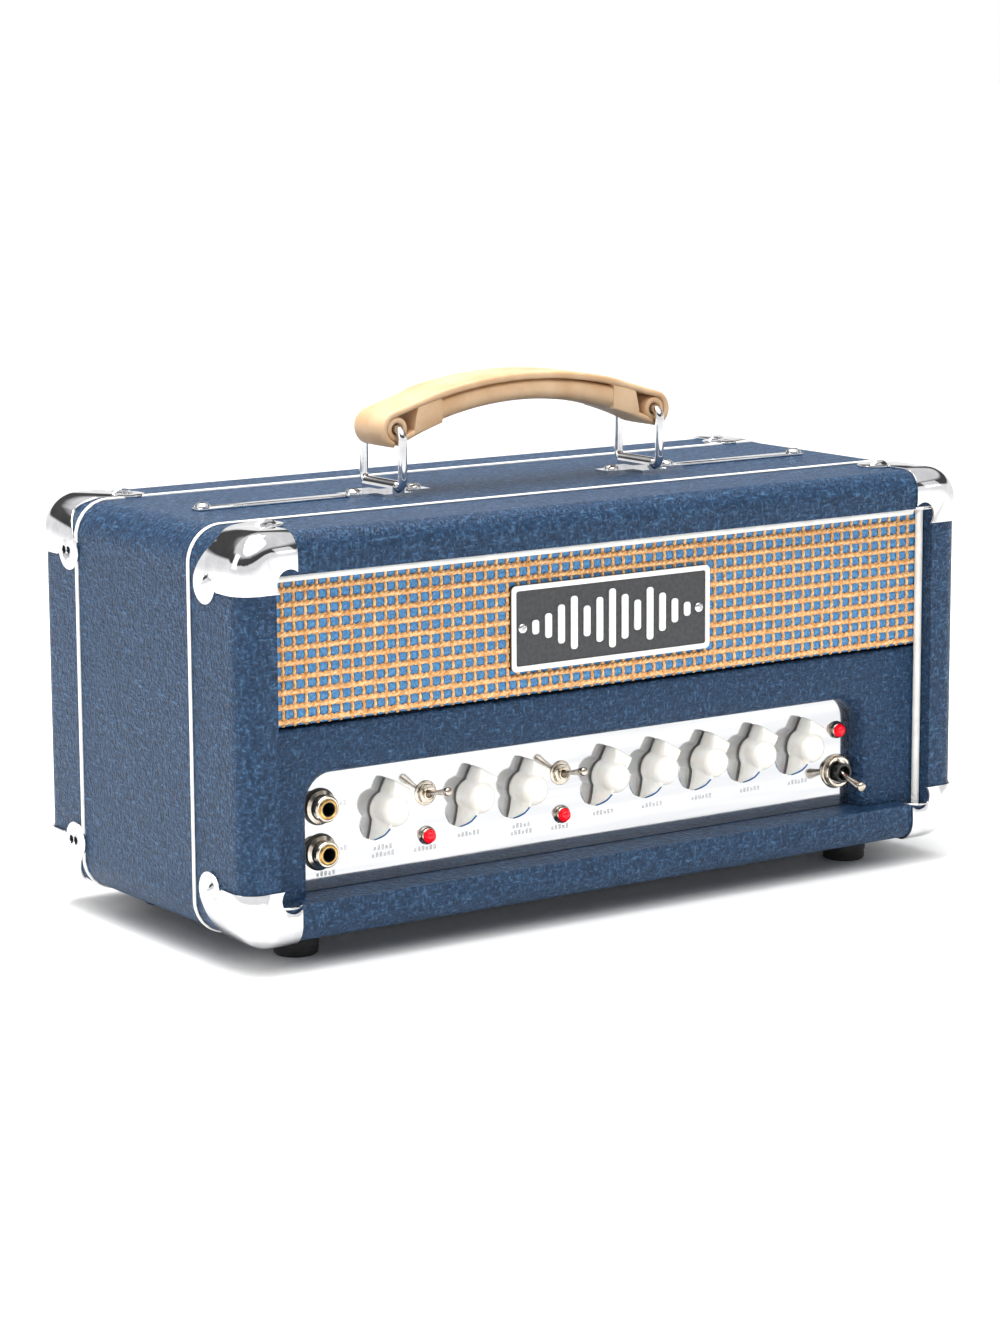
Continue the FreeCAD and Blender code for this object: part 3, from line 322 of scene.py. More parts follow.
world = bpy.data.worlds.new("studioWalls")
world.use_nodes = True
bpy.context.scene.world = world
walls = world.node_tree
height = addNode(walls, "SeparateXYZ", None,
                 {"Vector": addNode(walls, "TexCoord").outputs["Generated"]}).outputs["Z"]
height = addNode(walls, "MapRange", None, {"Value": height, "From Min": -1.0}).outputs["Result"]
sky = addNode(walls, "ValToRGB", None, {"Fac": height},
              [(place, grey(value)) for place, value in studioSettings["walls"]])
walls.links.new(sky.outputs["Color"], walls.nodes["Background"].inputs["Color"])
walls.nodes["Background"].inputs["Strength"].default_value = studioSettings["wallStrength"]
for name, (place, aim, wide, tall, watts) in studioSettings["lights"].items():
    light = bpy.data.lights.new(name, "AREA")
    light.shape, light.size, light.size_y, light.energy = "RECTANGLE", wide, tall, watts
    lamp = bpy.data.objects.new(name, light)
    bpy.context.scene.collection.objects.link(lamp)
    lamp.location = place
    lamp.rotation_mode = "QUATERNION"
    lamp.rotation_quaternion = (Vector(aim) - Vector(place)).to_track_quat("-Z", "Y")
sunLight = bpy.data.lights.new("daylight", "SUN")
sunLight.energy = studioSettings["sunStrength"]
sunLight.angle = math.radians(studioSettings["sunSoftness"])
sun = bpy.data.objects.new("daylight", sunLight)
bpy.context.scene.collection.objects.link(sun)
sun.rotation_euler = (math.radians(18), math.radians(-10), 0)
bpy.context.scene.view_settings.view_transform = "Standard"
print("camera, floor and light made")


# finishes

def grainedVinyl():
    # calendered PVC covering: embossed threads about 1.5 mm apart that cross like coarse
    # linen, satin; its colour follows the relief, with painted highlights on the ridges and painted
    # shade in the hollows
    material = bpy.data.materials.new("grainedVinyl")
    material.use_nodes = True
    tree = material.node_tree
    shader = tree.nodes["Principled BSDF"]
    shader.inputs["IOR"].default_value = 1.53
    shader.inputs["Roughness"].default_value = 0.42
    # a matting lacquer holds the gloss down
    shader.inputs["Specular IOR Level"].default_value = 0.2
    place = addNode(tree, "TexCoord").outputs["Object"]
    threads = []
    for stretch in ((0.42, 1, 1.1), (1.1, 1, 0.5), (1, 0.42, 1.1)):
        where = addNode(tree, "Mapping", None, {"Vector": place, "Scale": stretch})
        threads.append(addNode(tree, "TexNoise", None,
                               {"Vector": where.outputs["Vector"], "Scale": 580.0,
                                "Detail": 1.5}).outputs["Fac"])
    ridges = addNode(tree, "Math", {"operation": "MAXIMUM"}, {0: threads[0], 1: threads[1]})
    ridges = addNode(tree, "Math", {"operation": "MAXIMUM"},
                     {0: ridges.outputs["Value"], 1: threads[2]}).outputs["Value"]
    # the colour follows the bump: hollows are painted a shaded blue and ridges a highlit blue
    ridgeHighlightTone = addNode(tree, "ValToRGB", None, {"Fac": ridges},
                   [(0.46, colour("#172d45")), (0.78, colour("#456788")),
                    (0.62, colour("#253f5d"))])
    tree.links.new(ridgeHighlightTone.outputs["Color"], shader.inputs["Base Color"])
    bump = addNode(tree, "Bump", None, {"Height": ridges, "Distance": 1.8 * mm,
                                        "Strength": 0.85})
    tree.links.new(bump.outputs["Normal"], shader.inputs["Normal"])
    return material


# chromium over pressed steel: mirror gloss with the slight ripple of the press
chrome = newFinish("chromedSteel", {"Metallic": 1.0, "Roughness": 0.06},
                   ("#d6d6d8", "#e8e8ea", 9, even), (22, 0.12, even))
# nickel on brass: warmer and duller than chrome
nickel = newFinish("nickelPlate", {"Metallic": 1.0, "Roughness": 0.16},
                   ("#b9afa0", "#d8cfc2", 4, even))
# lacquered brass of the sockets' bushings
brass = newFinish("lacqueredBrass", {"Metallic": 1.0, "Roughness": 0.2},
                  ("#a9813f", "#dcb673", 4, even))
# mirror-polished stainless plate with faint streaks along its length
mirrorPlate = newFinish("polishedStainless", {"Metallic": 1.0, "Roughness": 0.08},
                        ("#b9babd", "#c6c7c9", 6, (0.05, 1, 1)), (3, 0.02, (0.05, 1, 1)))
# bright zinc on mild steel sheet: cool grey with rolled streaks
zinc = newFinish("zincPlatedSheet", {"Metallic": 1.0, "Roughness": 0.34},
                 ("#9da0a3", "#aeb1b4", 1.2, (0.1, 1, 1)), (0.8, 0.02, (0.1, 1, 1)))
# extruded PVC piping: bright, a little waxy
piping = newFinish("extrudedPiping", {"Roughness": 0.38, "IOR": 1.53},
                   ("#e6e5e1", "#f6f5f1", 12, even), (2, 0.03, even))
# phenolic moulding of the knobs: glossy off-white that light enters a little
knobWhite = newFinish("phenolicMoulding", {"Roughness": 0.2, "IOR": 1.55,
                                           "Subsurface Weight": 0.2,
                                           "Subsurface Scale": 0.002},
                      ("#efece4", "#f8f6f0", 7, even))
# glass-filled nylon: near black, satin, spark-eroded
blackNylon = newFinish("blackNylon", {"Roughness": 0.36, "IOR": 1.53},
                       ("#0b0b0c", "#1b1b1c", 3, even), (0.4, 0.03, even))
# moulded rubber: dull, with a dusty bloom
blackRubber = newFinish("mouldedRubber", {"Roughness": 0.7, "IOR": 1.52},
                        ("#0a0a0b", "#1c1b1c", 5, even), (0.6, 0.05, even))
# vegetable-tanned strap leather: smooth grain side with fine pores, paler where it is worn
leather = newFinish("tannedLeather", {"Roughness": 0.46, "IOR": 1.48, "Subsurface Weight": 0.05,
                                      "Subsurface Scale": 0.001},
                    ("#cfa67c", "#dfbd96", 18, even), (0.8, 0.06, even))
# twisted paper cane of the grille, varnished; its mottle runs from a painted shade tone to a
# painted highlight tone
cane = newFinish("twistedCane", {"Roughness": 0.42, "IOR": 1.5},
                 ("#cf8c47", "#f6cd94", 1.6, even), (0.5, 0.12, (1, 1, 0.4)))
# blue polypropylene ribbon between the cords
ribbon = newFinish("wovenRibbon", {"Roughness": 0.5, "IOR": 1.49},
                   ("#2a6da8", "#559ad2", 1.3, even), (0.5, 0.08, (1, 1, 0.3)))
# black scrim behind the weave
scrim = newFinish("blackScrim", {"Roughness": 0.95}, ("#040404", "#0e0e0e", 0.8, even),
                  (0.6, 0.1, even))
# cast badge: matt black ground, white enamelled relief
badgeBlack = newFinish("castBadgeGround", {"Roughness": 0.4, "IOR": 1.5},
                       ("#2c2d30", "#3a3b3e", 2, even), (0.5, 0.05, even))
badgeWhite = newFinish("whiteEnamel", {"Roughness": 0.25, "IOR": 1.52},
                       ("#ececea", "#f7f7f5", 5, even), (1.5, 0.02, even))
# blue enamel wiped into the pointer's groove
pointerPaint = newFinish("pointerPaint", {"Roughness": 0.35, "IOR": 1.5},
                         ("#1c4a80", "#2c68a8", 1.5, even))
# pale screen printing, dull beside the polished plate
legendInk = newFinish("screenPrintedInk", {"Roughness": 0.6, "IOR": 1.5},
                      ("#dcdee0", "#eceded", 1.0, even))
# black powder coat on sheet steel: satin, with a slight orange peel
ventBlack = newFinish("powderCoat", {"Roughness": 0.5, "IOR": 1.5},
                      ("#0f0f10", "#1d1d1e", 1.5, even), (0.7, 0.04, even))
# pressed wood fibre: dull brown with short flecks
fibreboard = newFinish("fibreboard", {"Roughness": 0.85, "IOR": 1.5},
                       ("#38291c", "#4e3b2a", 1.8, (0.3, 1, 0.3)), (1.2, 0.08, even))
# sanded birch ply: pale, with grain along the length
plywood = newFinish("birchPly", {"Roughness": 0.6, "IOR": 1.5},
                    ("#a07a4b", "#cfae7c", 4, (0.08, 1, 1)), (1.5, 0.04, (0.08, 1, 1)))
# green solder resist over the board's copper: smooth and glossy
boardGreen = newFinish("solderResist", {"Roughness": 0.3, "IOR": 1.5},
                       ("#0a3520", "#14552f", 9, even))
# blue heat-shrunk PVC round the capacitors: tight and glossy
sleeveBlue = newFinish("shrinkSleeve", {"Roughness": 0.3, "IOR": 1.52},
                       ("#10224a", "#1a386e", 14, even))
# amber polyester tape: thin and shiny
windingTape = newFinish("windingTape", {"Roughness": 0.45, "IOR": 1.5},
                        ("#c59b3a", "#dcb85a", 6, even))
# black varnish over stacked laminations, lined along the sheets
coreBlack = newFinish("varnishedCore", {"Roughness": 0.45, "IOR": 1.5},
                      ("#121213", "#252527", 0.7, (1, 0.05, 0.05)), (0.6, 0.1, (1, 0.05, 0.05)))
# glazed steatite of the sockets: cream and smooth
ceramic = newFinish("ceramicSocket", {"Roughness": 0.35, "IOR": 1.55},
                    ("#e2dccb", "#f2ecdd", 6, even))
# thin drawn soda glass of the valves: clear, with sharp reflections
glass = newFinish("sodaGlass", {"Roughness": 0.03, "IOR": 1.5, "Transmission Weight": 1.0},
                  ("#eef4f3", "#ffffff", 20, even))
# carbonised nickel of the anodes: dark grey and dull
anodeGrey = newFinish("anodePlate", {"Metallic": 1.0, "Roughness": 0.5},
                      ("#4a4c4e", "#6b6d70", 3, even))
# barium getter flashed inside the glass: a dark mirror
getterSilver = newFinish("getterFlash", {"Metallic": 1.0, "Roughness": 0.12},
                         ("#9a9a9c", "#c6c6c8", 5, even))
# tinted acrylic over a lit diode
lampRed = newFinish("tintedAcrylic", {"Roughness": 0.12, "IOR": 1.49,
                                      "Emission Color": colour("#ff0c1c"),
                                      "Emission Strength": 0.5},
                    ("#c80016", "#f4102c", 2, even))
vinyl = grainedVinyl()
print("finishes made")


# CAD nodes whose shape is shown as it is

cadFinishes = [
    (plywood, ["top_board", "bottom_board", "side_board_left", "side_board_right",
               "rear_cleats"]),
    (vinyl, ["vinyl_cover"]),
    (fibreboard, ["grille_board"]),
    (badgeBlack, ["badge_plate"]),
    (chrome, ["handle_clips"]),
    (zinc, ["chassis_tray", "chassis_bolts", "potentiometers"]),
    (mirrorPlate, ["front_panel"]),
    (blackNylon, ["input_jacks", "mains_switch_body", "mains_inlet", "speaker_jacks"]),
    (nickel, ["toggle_bodies", "input_jack_nuts"]),
    (boardGreen, ["circuit_board"]),
    (ceramic, ["valve_sockets"]),
    (ventBlack, ["rear_vent_panel"]),
]
for finish, nodeNames in cadFinishes:
    for node in nodeNames:
        frame["nodes"][node].data.materials.clear()
        frame["nodes"][node].data.materials.append(finish)


# pressed and extruded parts keep the frame's outlines, with their edges rounded

softenedSettings = [
    # node, edge radius in mm, finish, slot
    ("front_band", 0.45, piping, "white_trim"),
    ("rear_band", 0.45, piping, "white_trim"),
    ("opening_piping", 0.2, piping, "white_trim"),
    ("badge_relief", 0.25, badgeWhite, "badge_white"),
    ("front_corners", 0.3, chrome, "chrome"),
    ("rear_corners", 0.3, chrome, "chrome"),
    ("handle_strips", 0.4, chrome, "chrome"),
]
for node, radius, finish, slotName in softenedSettings:
    addPiece(node.replace("_", "") + "Shell", softenedCopy(node, radius), finish,
             replaces=[node], sharp=30)
print("trim and corners softened")


# the woven grille: twisted cane cords over upright cords and blue ribbons

grilleSettings = {
    "columnPitch": 6.25, "rowPitch": 6.8, "cordRadius": 0.96, "cordOffset": 0.56,
    "uprightRadius": 0.82, "ribbonWidth": 4.0, "stepsPerTwist": 6,
}


def makeGrille():
    s = grilleSettings
    low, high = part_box("grille_cloth")
    pitch, rise = s["columnPitch"] * mm, s["rowPitch"] * mm
    front = low.y
    columns = int((high.x - low.x) / pitch) + 1
    rows = [low.z + 2.2 * mm + i * rise for i in range(int((high.z - low.z) / rise) + 1)]
    across = Vector((0, 0, 1))

    # cane: a row is two strands laid together, one twist to a column
    bm = bmesh.new()
    section = roundSection(s["cordRadius"] * mm, 6)
    count = int((high.x - low.x) / pitch * s["stepsPerTwist"])
    for strand in (0, math.pi):
        points = []
        for i in range(count + 1):
            x = low.x + (high.x - low.x) * i / count
            turn = math.tau * (x - low.x) / pitch + strand
            points.append(Vector((x, front - 0.05 * mm + s["cordOffset"] * mm * math.sin(turn),
                                  s["cordOffset"] * mm * math.cos(turn))))
        addSweep(bm, alongPath(points, section, across))
    row = meshThrough(bm)
    addPiece("grilleRowCords", copiesOf(row, [Matrix.Translation((0, 0, z)) for z in rows]),
             cane, replaces=["grille_cloth"])

    # the uprights bow forward between the rows and dip behind them
    def heights(steps):
        count = int((high.z - low.z) / rise * steps)
        return [(low.z + (high.z - low.z) * i / count) for i in range(count + 1)]

    def bow(z):
        return math.cos(math.tau * (z - rows[0]) / rise)

    bm = bmesh.new()
    points = [Vector((0, front + (0.15 + 0.6 * bow(z)) * mm, z)) for z in heights(6)]
    addSweep(bm, alongPath(points, roundSection(s["uprightRadius"] * mm, 6), (1, 0, 0)))
    places = [Matrix.Translation((low.x + (column + 0.35) * pitch, 0, 0))
              for column in range(columns)]
    addPiece("grilleUprights", copiesOf(meshThrough(bm), places), cane)

    # blue ribbons: flat, a little crowned between the rows
    bm = bmesh.new()
    half = s["ribbonWidth"] / 2 * mm
    section = [(-half, 0), (-half * 0.5, 0.22 * mm), (half * 0.5, 0.22 * mm), (half, 0),
               (half, -0.3 * mm), (-half, -0.3 * mm)]
    points = [Vector((0, front + (0.62 + 0.35 * bow(z)) * mm, z)) for z in heights(4)]
    addSweep(bm, alongPath(points, section, (1, 0, 0)))
    places = [Matrix.Translation((low.x + (column + 0.9) * pitch, 0, 0))
              for column in range(columns - 1)]
    addPiece("grilleRibbons", copiesOf(meshThrough(bm), places), ribbon)

    bm = bmesh.new()
    addBlock(bm, (low.x, front + 1.0 * mm, low.z), (high.x, front + 1.18 * mm, high.z), 0.05 * mm)
    addPiece("grilleScrim", bm, scrim)


makeGrille()
print("grille woven")


# the covered lower front, its covering rolled over the edge of the notch

baffleSettings = {
    "notchLeft": -173.5, "notchRight": 159.5, "notchTop": 89.0, "cornerRadius": 14.0,
    "edgeRadius": 7.0, "depth": 10.9, "topRadius": 2.5, "steps": 7,
    "boardInset": 0.8, "boardBehind": 1.0, "boardDrop": 3, "boardThick": 8.5,
}


def makeBaffle():
    s = baffleSettings
    low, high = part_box("lower_baffle_cover")

    def outline(offset, y):
        # the notch's outline moved outwards by an offset
        radius = (s["cornerRadius"] + offset) * mm
        left, right = (s["notchLeft"] - offset) * mm, (s["notchRight"] + offset) * mm
        top = (s["notchTop"] + offset) * mm
        points = [Vector((left, y, low.z))]
        points += [Vector((left, y, low.z + (top - radius - low.z) * i / 4)) for i in (1, 2, 3)]
        points += arcPoints((left + radius, top - radius), radius, 180, 90, 8, y)
        points += [Vector((left + radius + (right - left - 2 * radius) * i / 12, y, top))
                   for i in range(1, 12)]
        points += arcPoints((right - radius, top - radius), radius, 90, 0, 8, y)
        points += [Vector((right, y, low.z + (top - radius - low.z) * i / 4)) for i in (3, 2, 1)]
        points.append(Vector((right, y, low.z)))
        return points

    bm = bmesh.new()
    edge = s["edgeRadius"]
    bends = [(edge * (1 - math.sin(math.pi / 2 * i / s["steps"])),
              edge * (1 - math.cos(math.pi / 2 * i / s["steps"]))) for i in range(s["steps"] + 1)]
    chains, rows = [], []
    for offset, depth in bends + [(0, s["depth"])]:
        row = [bm.verts.new(point) for point in outline(offset, low.y + depth * mm)]
        rows.append(row)
        chains.append([bm.edges.new(pair) for pair in zip(row, row[1:])])
    for first, second in zip(chains, chains[1:]):
        bmesh.ops.bridge_loops(bm, edges=first + second)
    corners = [bm.verts.new(point) for point in (
        (high.x, low.y, low.z), (high.x, low.y, high.z), (low.x, low.y, high.z),
        (low.x, low.y, low.z))]
    bm.faces.new(rows[0] + corners)
    back = [bm.verts.new((corner.co.x, low.y + s["depth"] * mm, corner.co.z))
            for corner in corners]
    for i in range(3):
        bm.faces.new((corners[i], corners[i + 1], back[i + 1], back[i]))
    bm.faces.new(rows[-1] + back)
    bmesh.ops.recalc_face_normals(bm, faces=bm.faces)
    top = [edge for edge in bm.edges
           if all(abs(v.co.z - high.z) < 1e-6 and abs(v.co.y - low.y) < 1e-6
                  for v in edge.verts)]
    bmesh.ops.bevel(bm, geom=top, offset=s["topRadius"] * mm, segments=4, profile=0.5,
                    affect="EDGES", material=-1)

    # the board stands a little inside its covering on every side
    board = bmesh.new()
    inset, behind = s["boardInset"] * mm, low.y + s["boardBehind"] * mm
    shoulder = high.z - s["boardDrop"] * mm
    rim = outline(s["edgeRadius"] + s["boardBehind"], behind)
    rim += [Vector((high.x - inset, behind, low.z)), Vector((high.x - inset, behind, shoulder)),
            Vector((low.x + inset, behind, shoulder)), Vector((low.x + inset, behind, low.z))]
    face = board.faces.new([board.verts.new(point) for point in rim])
    pulled = bmesh.ops.extrude_face_region(board, geom=[face])["geom"]
    bmesh.ops.translate(board, vec=(0, s["boardThick"] * mm, 0),
                        verts=[item for item in pulled if isinstance(item, bmesh.types.BMVert)])
    bmesh.ops.recalc_face_normals(board, faces=board.faces)
    addPiece("lowerFrontBoard", board, fibreboard,
             replaces=["lower_baffle_board"])
    addPiece("lowerFrontCover", bm, vinyl, replaces=["lower_baffle_cover"],
             sharp=50)


makeBaffle()
print("lower front covered")


# screws with domed heads and crossed slots

def crossHead(radius, rise, recess):
    # a domed head whose cross is cut by a boolean; its rim sits on z = 0
    bm = bmesh.new()
    addTurned(bm, [(0, rise), (radius * 0.35, rise * 0.96), (radius * 0.65, rise * 0.8),
                   (radius * 0.87, rise * 0.5), (radius * 0.98, rise * 0.2), (radius, 0),
                   (radius * 0.97, -0.4), (0, -0.4)], steps=28)
    tool = bmesh.new()
    for angle in (0, math.pi / 2):
        before = len(tool.verts)
        addBlock(tool, (-radius * 0.52 * mm, -radius * 0.1 * mm, (rise - recess) * mm),
                 (radius * 0.52 * mm, radius * 0.1 * mm, (rise + 1) * mm))
        tool.verts.ensure_lookup_table()
        bmesh.ops.rotate(tool, cent=(0, 0, 0), matrix=Matrix.Rotation(angle + 0.5, 3, "Z"),
                         verts=tool.verts[before:])
    cutter = bpy.data.objects.new("cutter", bpy.data.meshes.new("cutter"))
    tool.to_mesh(cutter.data)
    tool.free()
    bpy.context.scene.collection.objects.link(cutter)
    made = meshThrough(bm, ("BOOLEAN", {"operation": "DIFFERENCE", "object": cutter,
                                        "solver": "EXACT", "use_self": True}))
    bpy.data.objects.remove(cutter)
    return made


def screwPlaces(node):
    # where each screw of a node sits: its head's middle and the way it faces
    places = []
    for low, high in solidBoxes(node):
        middle, size = (low + high) / 2, high - low
        axis = min(range(3), key=lambda i: size[i])
        if node in ("handle_screws", "foot_screws"):
            axis = 2
        side = 1 if (middle[axis] > 0.1 if axis == 2 else middle[axis] > 0) else -1
        facingWay = Vector([side if i == axis else 0 for i in range(3)])
        tip = high[axis] if side > 0 else low[axis]
        radius = max(size[i] for i in range(3) if i != axis) / 2
        middle[axis] = tip
        places.append((middle, facingWay, radius / mm))
    return places


screwSettings = [
    # node, dome rise, recess depth, finish, slot
    ("corner_screws", 2.2, 1.3, chrome, "chrome"),
    ("handle_screws", 2.2, 1.2, chrome, "chrome"),
    ("badge_screws", 1.3, 0.8, chrome, "chrome"),
    ("rear_screws", 1.6, 1.0, zinc, "steel"),
]
for node, rise, recess, finish, slotName in screwSettings:
    found = screwPlaces(node)
    head = crossHead(found[0][2], rise, recess)
    turns = [facing(way, at - way * rise * mm) @ Matrix.Rotation(0.7 * i, 4, "Z")
             for i, (at, way, radius) in enumerate(found)]
    addPiece(node.replace("_", "") + "Heads", copiesOf(head, turns), finish,
             replaces=[node], sharp=40)
print("screws made")


# the handle: wire loops and a padded leather strap

loopSettings = {"wireRadius": 2.3, "cornerRadius": 5.0}


def makeLoop(node):
    s = loopSettings
    low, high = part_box(node)
    wire, bend = s["wireRadius"] * mm, s["cornerRadius"] * mm
    x = (low.x + high.x) / 2
    near, far = low.y + wire, high.y - wire
    bottom, top = low.z + wire, high.z - wire
    points = []
    for cy, cz, first in ((far - bend, top - bend, 0), (near + bend, top - bend, 90),
                          (near + bend, bottom + bend, 180), (far - bend, bottom + bend, 270)):
        for i in range(9):
            angle = math.radians(first + 90 * i / 8)
            points.append(Vector((x, cy + bend * math.cos(angle), cz + bend * math.sin(angle))))
    bm = bmesh.new()
    addSweep(bm, alongPath(points, roundSection(wire, 16), (1, 0, 0), closed=True), closed=True)
    # the brazed butt joint on the lower bar
    addTurned(bm, [(0, -1.2), (2.4, -1.2), (2.5, 0), (2.4, 1.2), (0, 1.2)],
              facing((0, 1, 0), (x, (near + far) / 2 + 3 * mm, bottom)), 16)
    addPiece(node.replace("_", "") + "Wire", bm, chrome, body=node,
             replaces=[node])


for node in ("handle_loop_left", "handle_loop_right"):
    makeLoop(node)

strapSettings = {
    "barHeight": 237.6, "barReach": 78.0, "rollRadius": 9.3, "leather": 3.3, "boreRadius": 2.8,
    "crown": 260.5, "underside": 246.5, "padStart": -56.5, "padEnd": 58.0, "padWidth": 27.0,
    "neckInset": 2.4, "neckAt": 56.5, "gripReach": 72.0, "gripFoot": 231.6, "fill": 0.9,
    "endShift": 0.8, "returnWidth": 25.6, "coreWidth": 25.8,
}


def makeStrap():
    s = strapSettings
    low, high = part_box("handle_strap")
    middle, half = (low.y + high.y) / 2, (high.y - low.y) / 2
    endMiddle = middle - s["endShift"] * mm
    reach, bar, roll, thick = s["barReach"], s["barHeight"], s["rollRadius"], s["leather"]
    # circles of the upper face and of the underside
    shoulder = bar + roll
    rise = s["crown"] - shoulder
    outer = (reach ** 2 + rise ** 2) / (2 * rise)
    centre = s["crown"] - outer
    slope = math.degrees(math.asin(reach / outer))

    def sectionOf(wide, tall, corner, steps=4):
        # rounded oblong, across by outwards, in metres
        points = []
        for cx, cz, first in ((1, 1, 0), (-1, 1, 90), (-1, -1, 180), (1, -1, 270)):
            for i in range(steps + 1):
                angle = math.radians(first + 90 * i / steps)
                points.append((cx * (wide / 2 - corner) + corner * math.cos(angle),
                               cz * (tall / 2 - corner) + corner * math.sin(angle)))
        return [(a * mm, b * mm) for a, b in points]

    # the outer leather runs over the top, round both bars and back underneath
    line = roll - thick / 2
    path = arcPoints((-reach * mm, bar * mm), line * mm, 262, 90 + slope, 14)
    path += arcPoints((0, centre * mm), (outer - thick / 2) * mm, 90 + slope - 1.2,
                      90 - slope + 1.2, 40)
    path += arcPoints((reach * mm, bar * mm), line * mm, 90 - slope, -82, 14)
    across = Vector((0, 1, 0))
    rings = []
    for i, point in enumerate(path):
        before, after = path[max(i - 1, 0)], path[min(i + 1, len(path) - 1)]
        out = (after - before).cross(across).normalized()
        # the ends are a little narrower than the grip, with a soft step between
        away = abs(point.x / mm) - s["neckAt"]
        narrow = max(0.0, min(1.0, away / 2.5 + 0.5))
        wide = 2 * half / mm - s["neckInset"] * narrow
        shift = -0.35 * s["neckInset"] * narrow
        tall = thick + 0.5 * (1 - narrow)
        rings.append([point + across * (a + middle + shift * mm)
                      - out * (b - 0.25 * (1 - narrow) * mm)
                      for a, b in sectionOf(wide, tall, 1.45)])
    bm = bmesh.new()
    addSweep(bm, rings)
    # the inner turns of the rolls, with the bore for the bar
    wide = (2 * half / mm - s["neckInset"]) / 2 - 0.6
    for x in (-reach, reach):
        bore, rim = s["boreRadius"], roll - thick + 0.15
        addTurned(bm, [(bore, -wide + 0.5), (bore + 0.5, -wide), (rim - 0.4, -wide),
                       (rim, -wide + 0.5), (rim, wide - 0.5), (rim - 0.4, wide),
                       (bore + 0.5, wide), (bore, wide - 0.5), (bore, -wide + 0.5)],
                  facing((0, 1, 0), (x * mm, endMiddle, bar * mm)), 32)
    upper = meshThrough(bm, ("SUBSURF", {"levels": 1, "render_levels": 1}))
    strap = addPiece("strapLeather", upper, leather, body="handle_strap",
                     replaces=["handle_strap"], sharp=60)

    # the padded grip under it: a rounded U that thins and closes at its ends
    start, end = s["padStart"], s["padEnd"]
    innerRise = s["underside"] - s["gripFoot"]
    inner = (s["gripReach"] ** 2 + innerRise ** 2) / (2 * innerRise)
    innerCentre = s["underside"] - inner
    rings = []
    for i in range(45):
        share = i / 44
        x = start + (end - start) * share
        top = centre + math.sqrt((outer - thick) ** 2 - x * x)
        under = innerCentre + math.sqrt(inner ** 2 - x * x)
        tall = top - under
        tip = min(share, 1 - share) * (end - start)
        swell = 1 - 0.16 * max(0.0, 1 - tip / 3.0) ** 2
        wide = s["padWidth"] / 2 * (1 - 0.05 * max(0.0, 1 - tip / 3.0) ** 2)
        ring = []
        for j in range(28):
            angle = math.tau * j / 28
            c, z = math.cos(angle), math.sin(angle)
            y = math.copysign(abs(c) ** 0.55, c) * wide
            # flatter above, where it meets the leather, and full below
            depth = math.copysign(abs(z) ** (0.35 if z > 0 else 0.75), z) * tall / 2 * swell
            ring.append(Vector((x * mm, middle + y * mm, (under + tall / 2 + depth) * mm)))
        rings.append(ring)
    bm = bmesh.new()
    addSweep(bm, rings)
    grip = meshThrough(bm, ("BEVEL", {"width": 0.8 * mm, "segments": 3, "limit_method": "ANGLE",
                                      "angle_limit": math.radians(50)}))
    pad = addPiece("strapGrip", grip, leather, body="handle_strap",
                   sharp=60)

    # the leather that returns from each bar to the grip, and the core between the layers
    bm = bmesh.new()
    for side in (-1, 1):
        rings = []
        for i in range(13):
            x = side * (77.0 - (77.0 - 60.0) * i / 12)
            z = innerCentre + math.sqrt(inner ** 2 - x * x) + thick / 2 + 0.1
            rings.append([Vector((x * mm, endMiddle + a, z * mm + b))
                          for a, b in sectionOf(s["returnWidth"], thick, 1.4)])
        addSweep(bm, rings)
        rings = []
        for i in range(9):
            x = side * (68.0 - (68.0 - 52.0) * i / 8)
            above = centre + math.sqrt((outer - thick) ** 2 - x * x) + 0.3
            under = innerCentre + math.sqrt(inner ** 2 - x * x) + (0.2 if i > 2 else 0.8)
            if i == 0:
                above = above * 0.35 + under * 0.65
            rings.append([Vector((x * mm, endMiddle + a, (above + under) / 2 * mm + b))
                          for a, b in sectionOf(s["coreWidth"], max(above - under, 1.8),
                                              0.85)])
        addSweep(bm, rings)
    addPiece("strapReturns", bm, leather, body="handle_strap", sharp=60)


makeStrap()
print("handle made")


# pointer knobs: a domed hub with a blunt tail and a thin crested nose

knobSettings = {
    "height": 15.0, "hubRadius": 7.9, "hubHigh": 10.6, "noseAngle": 240.0, "voxel": 0.42,
}


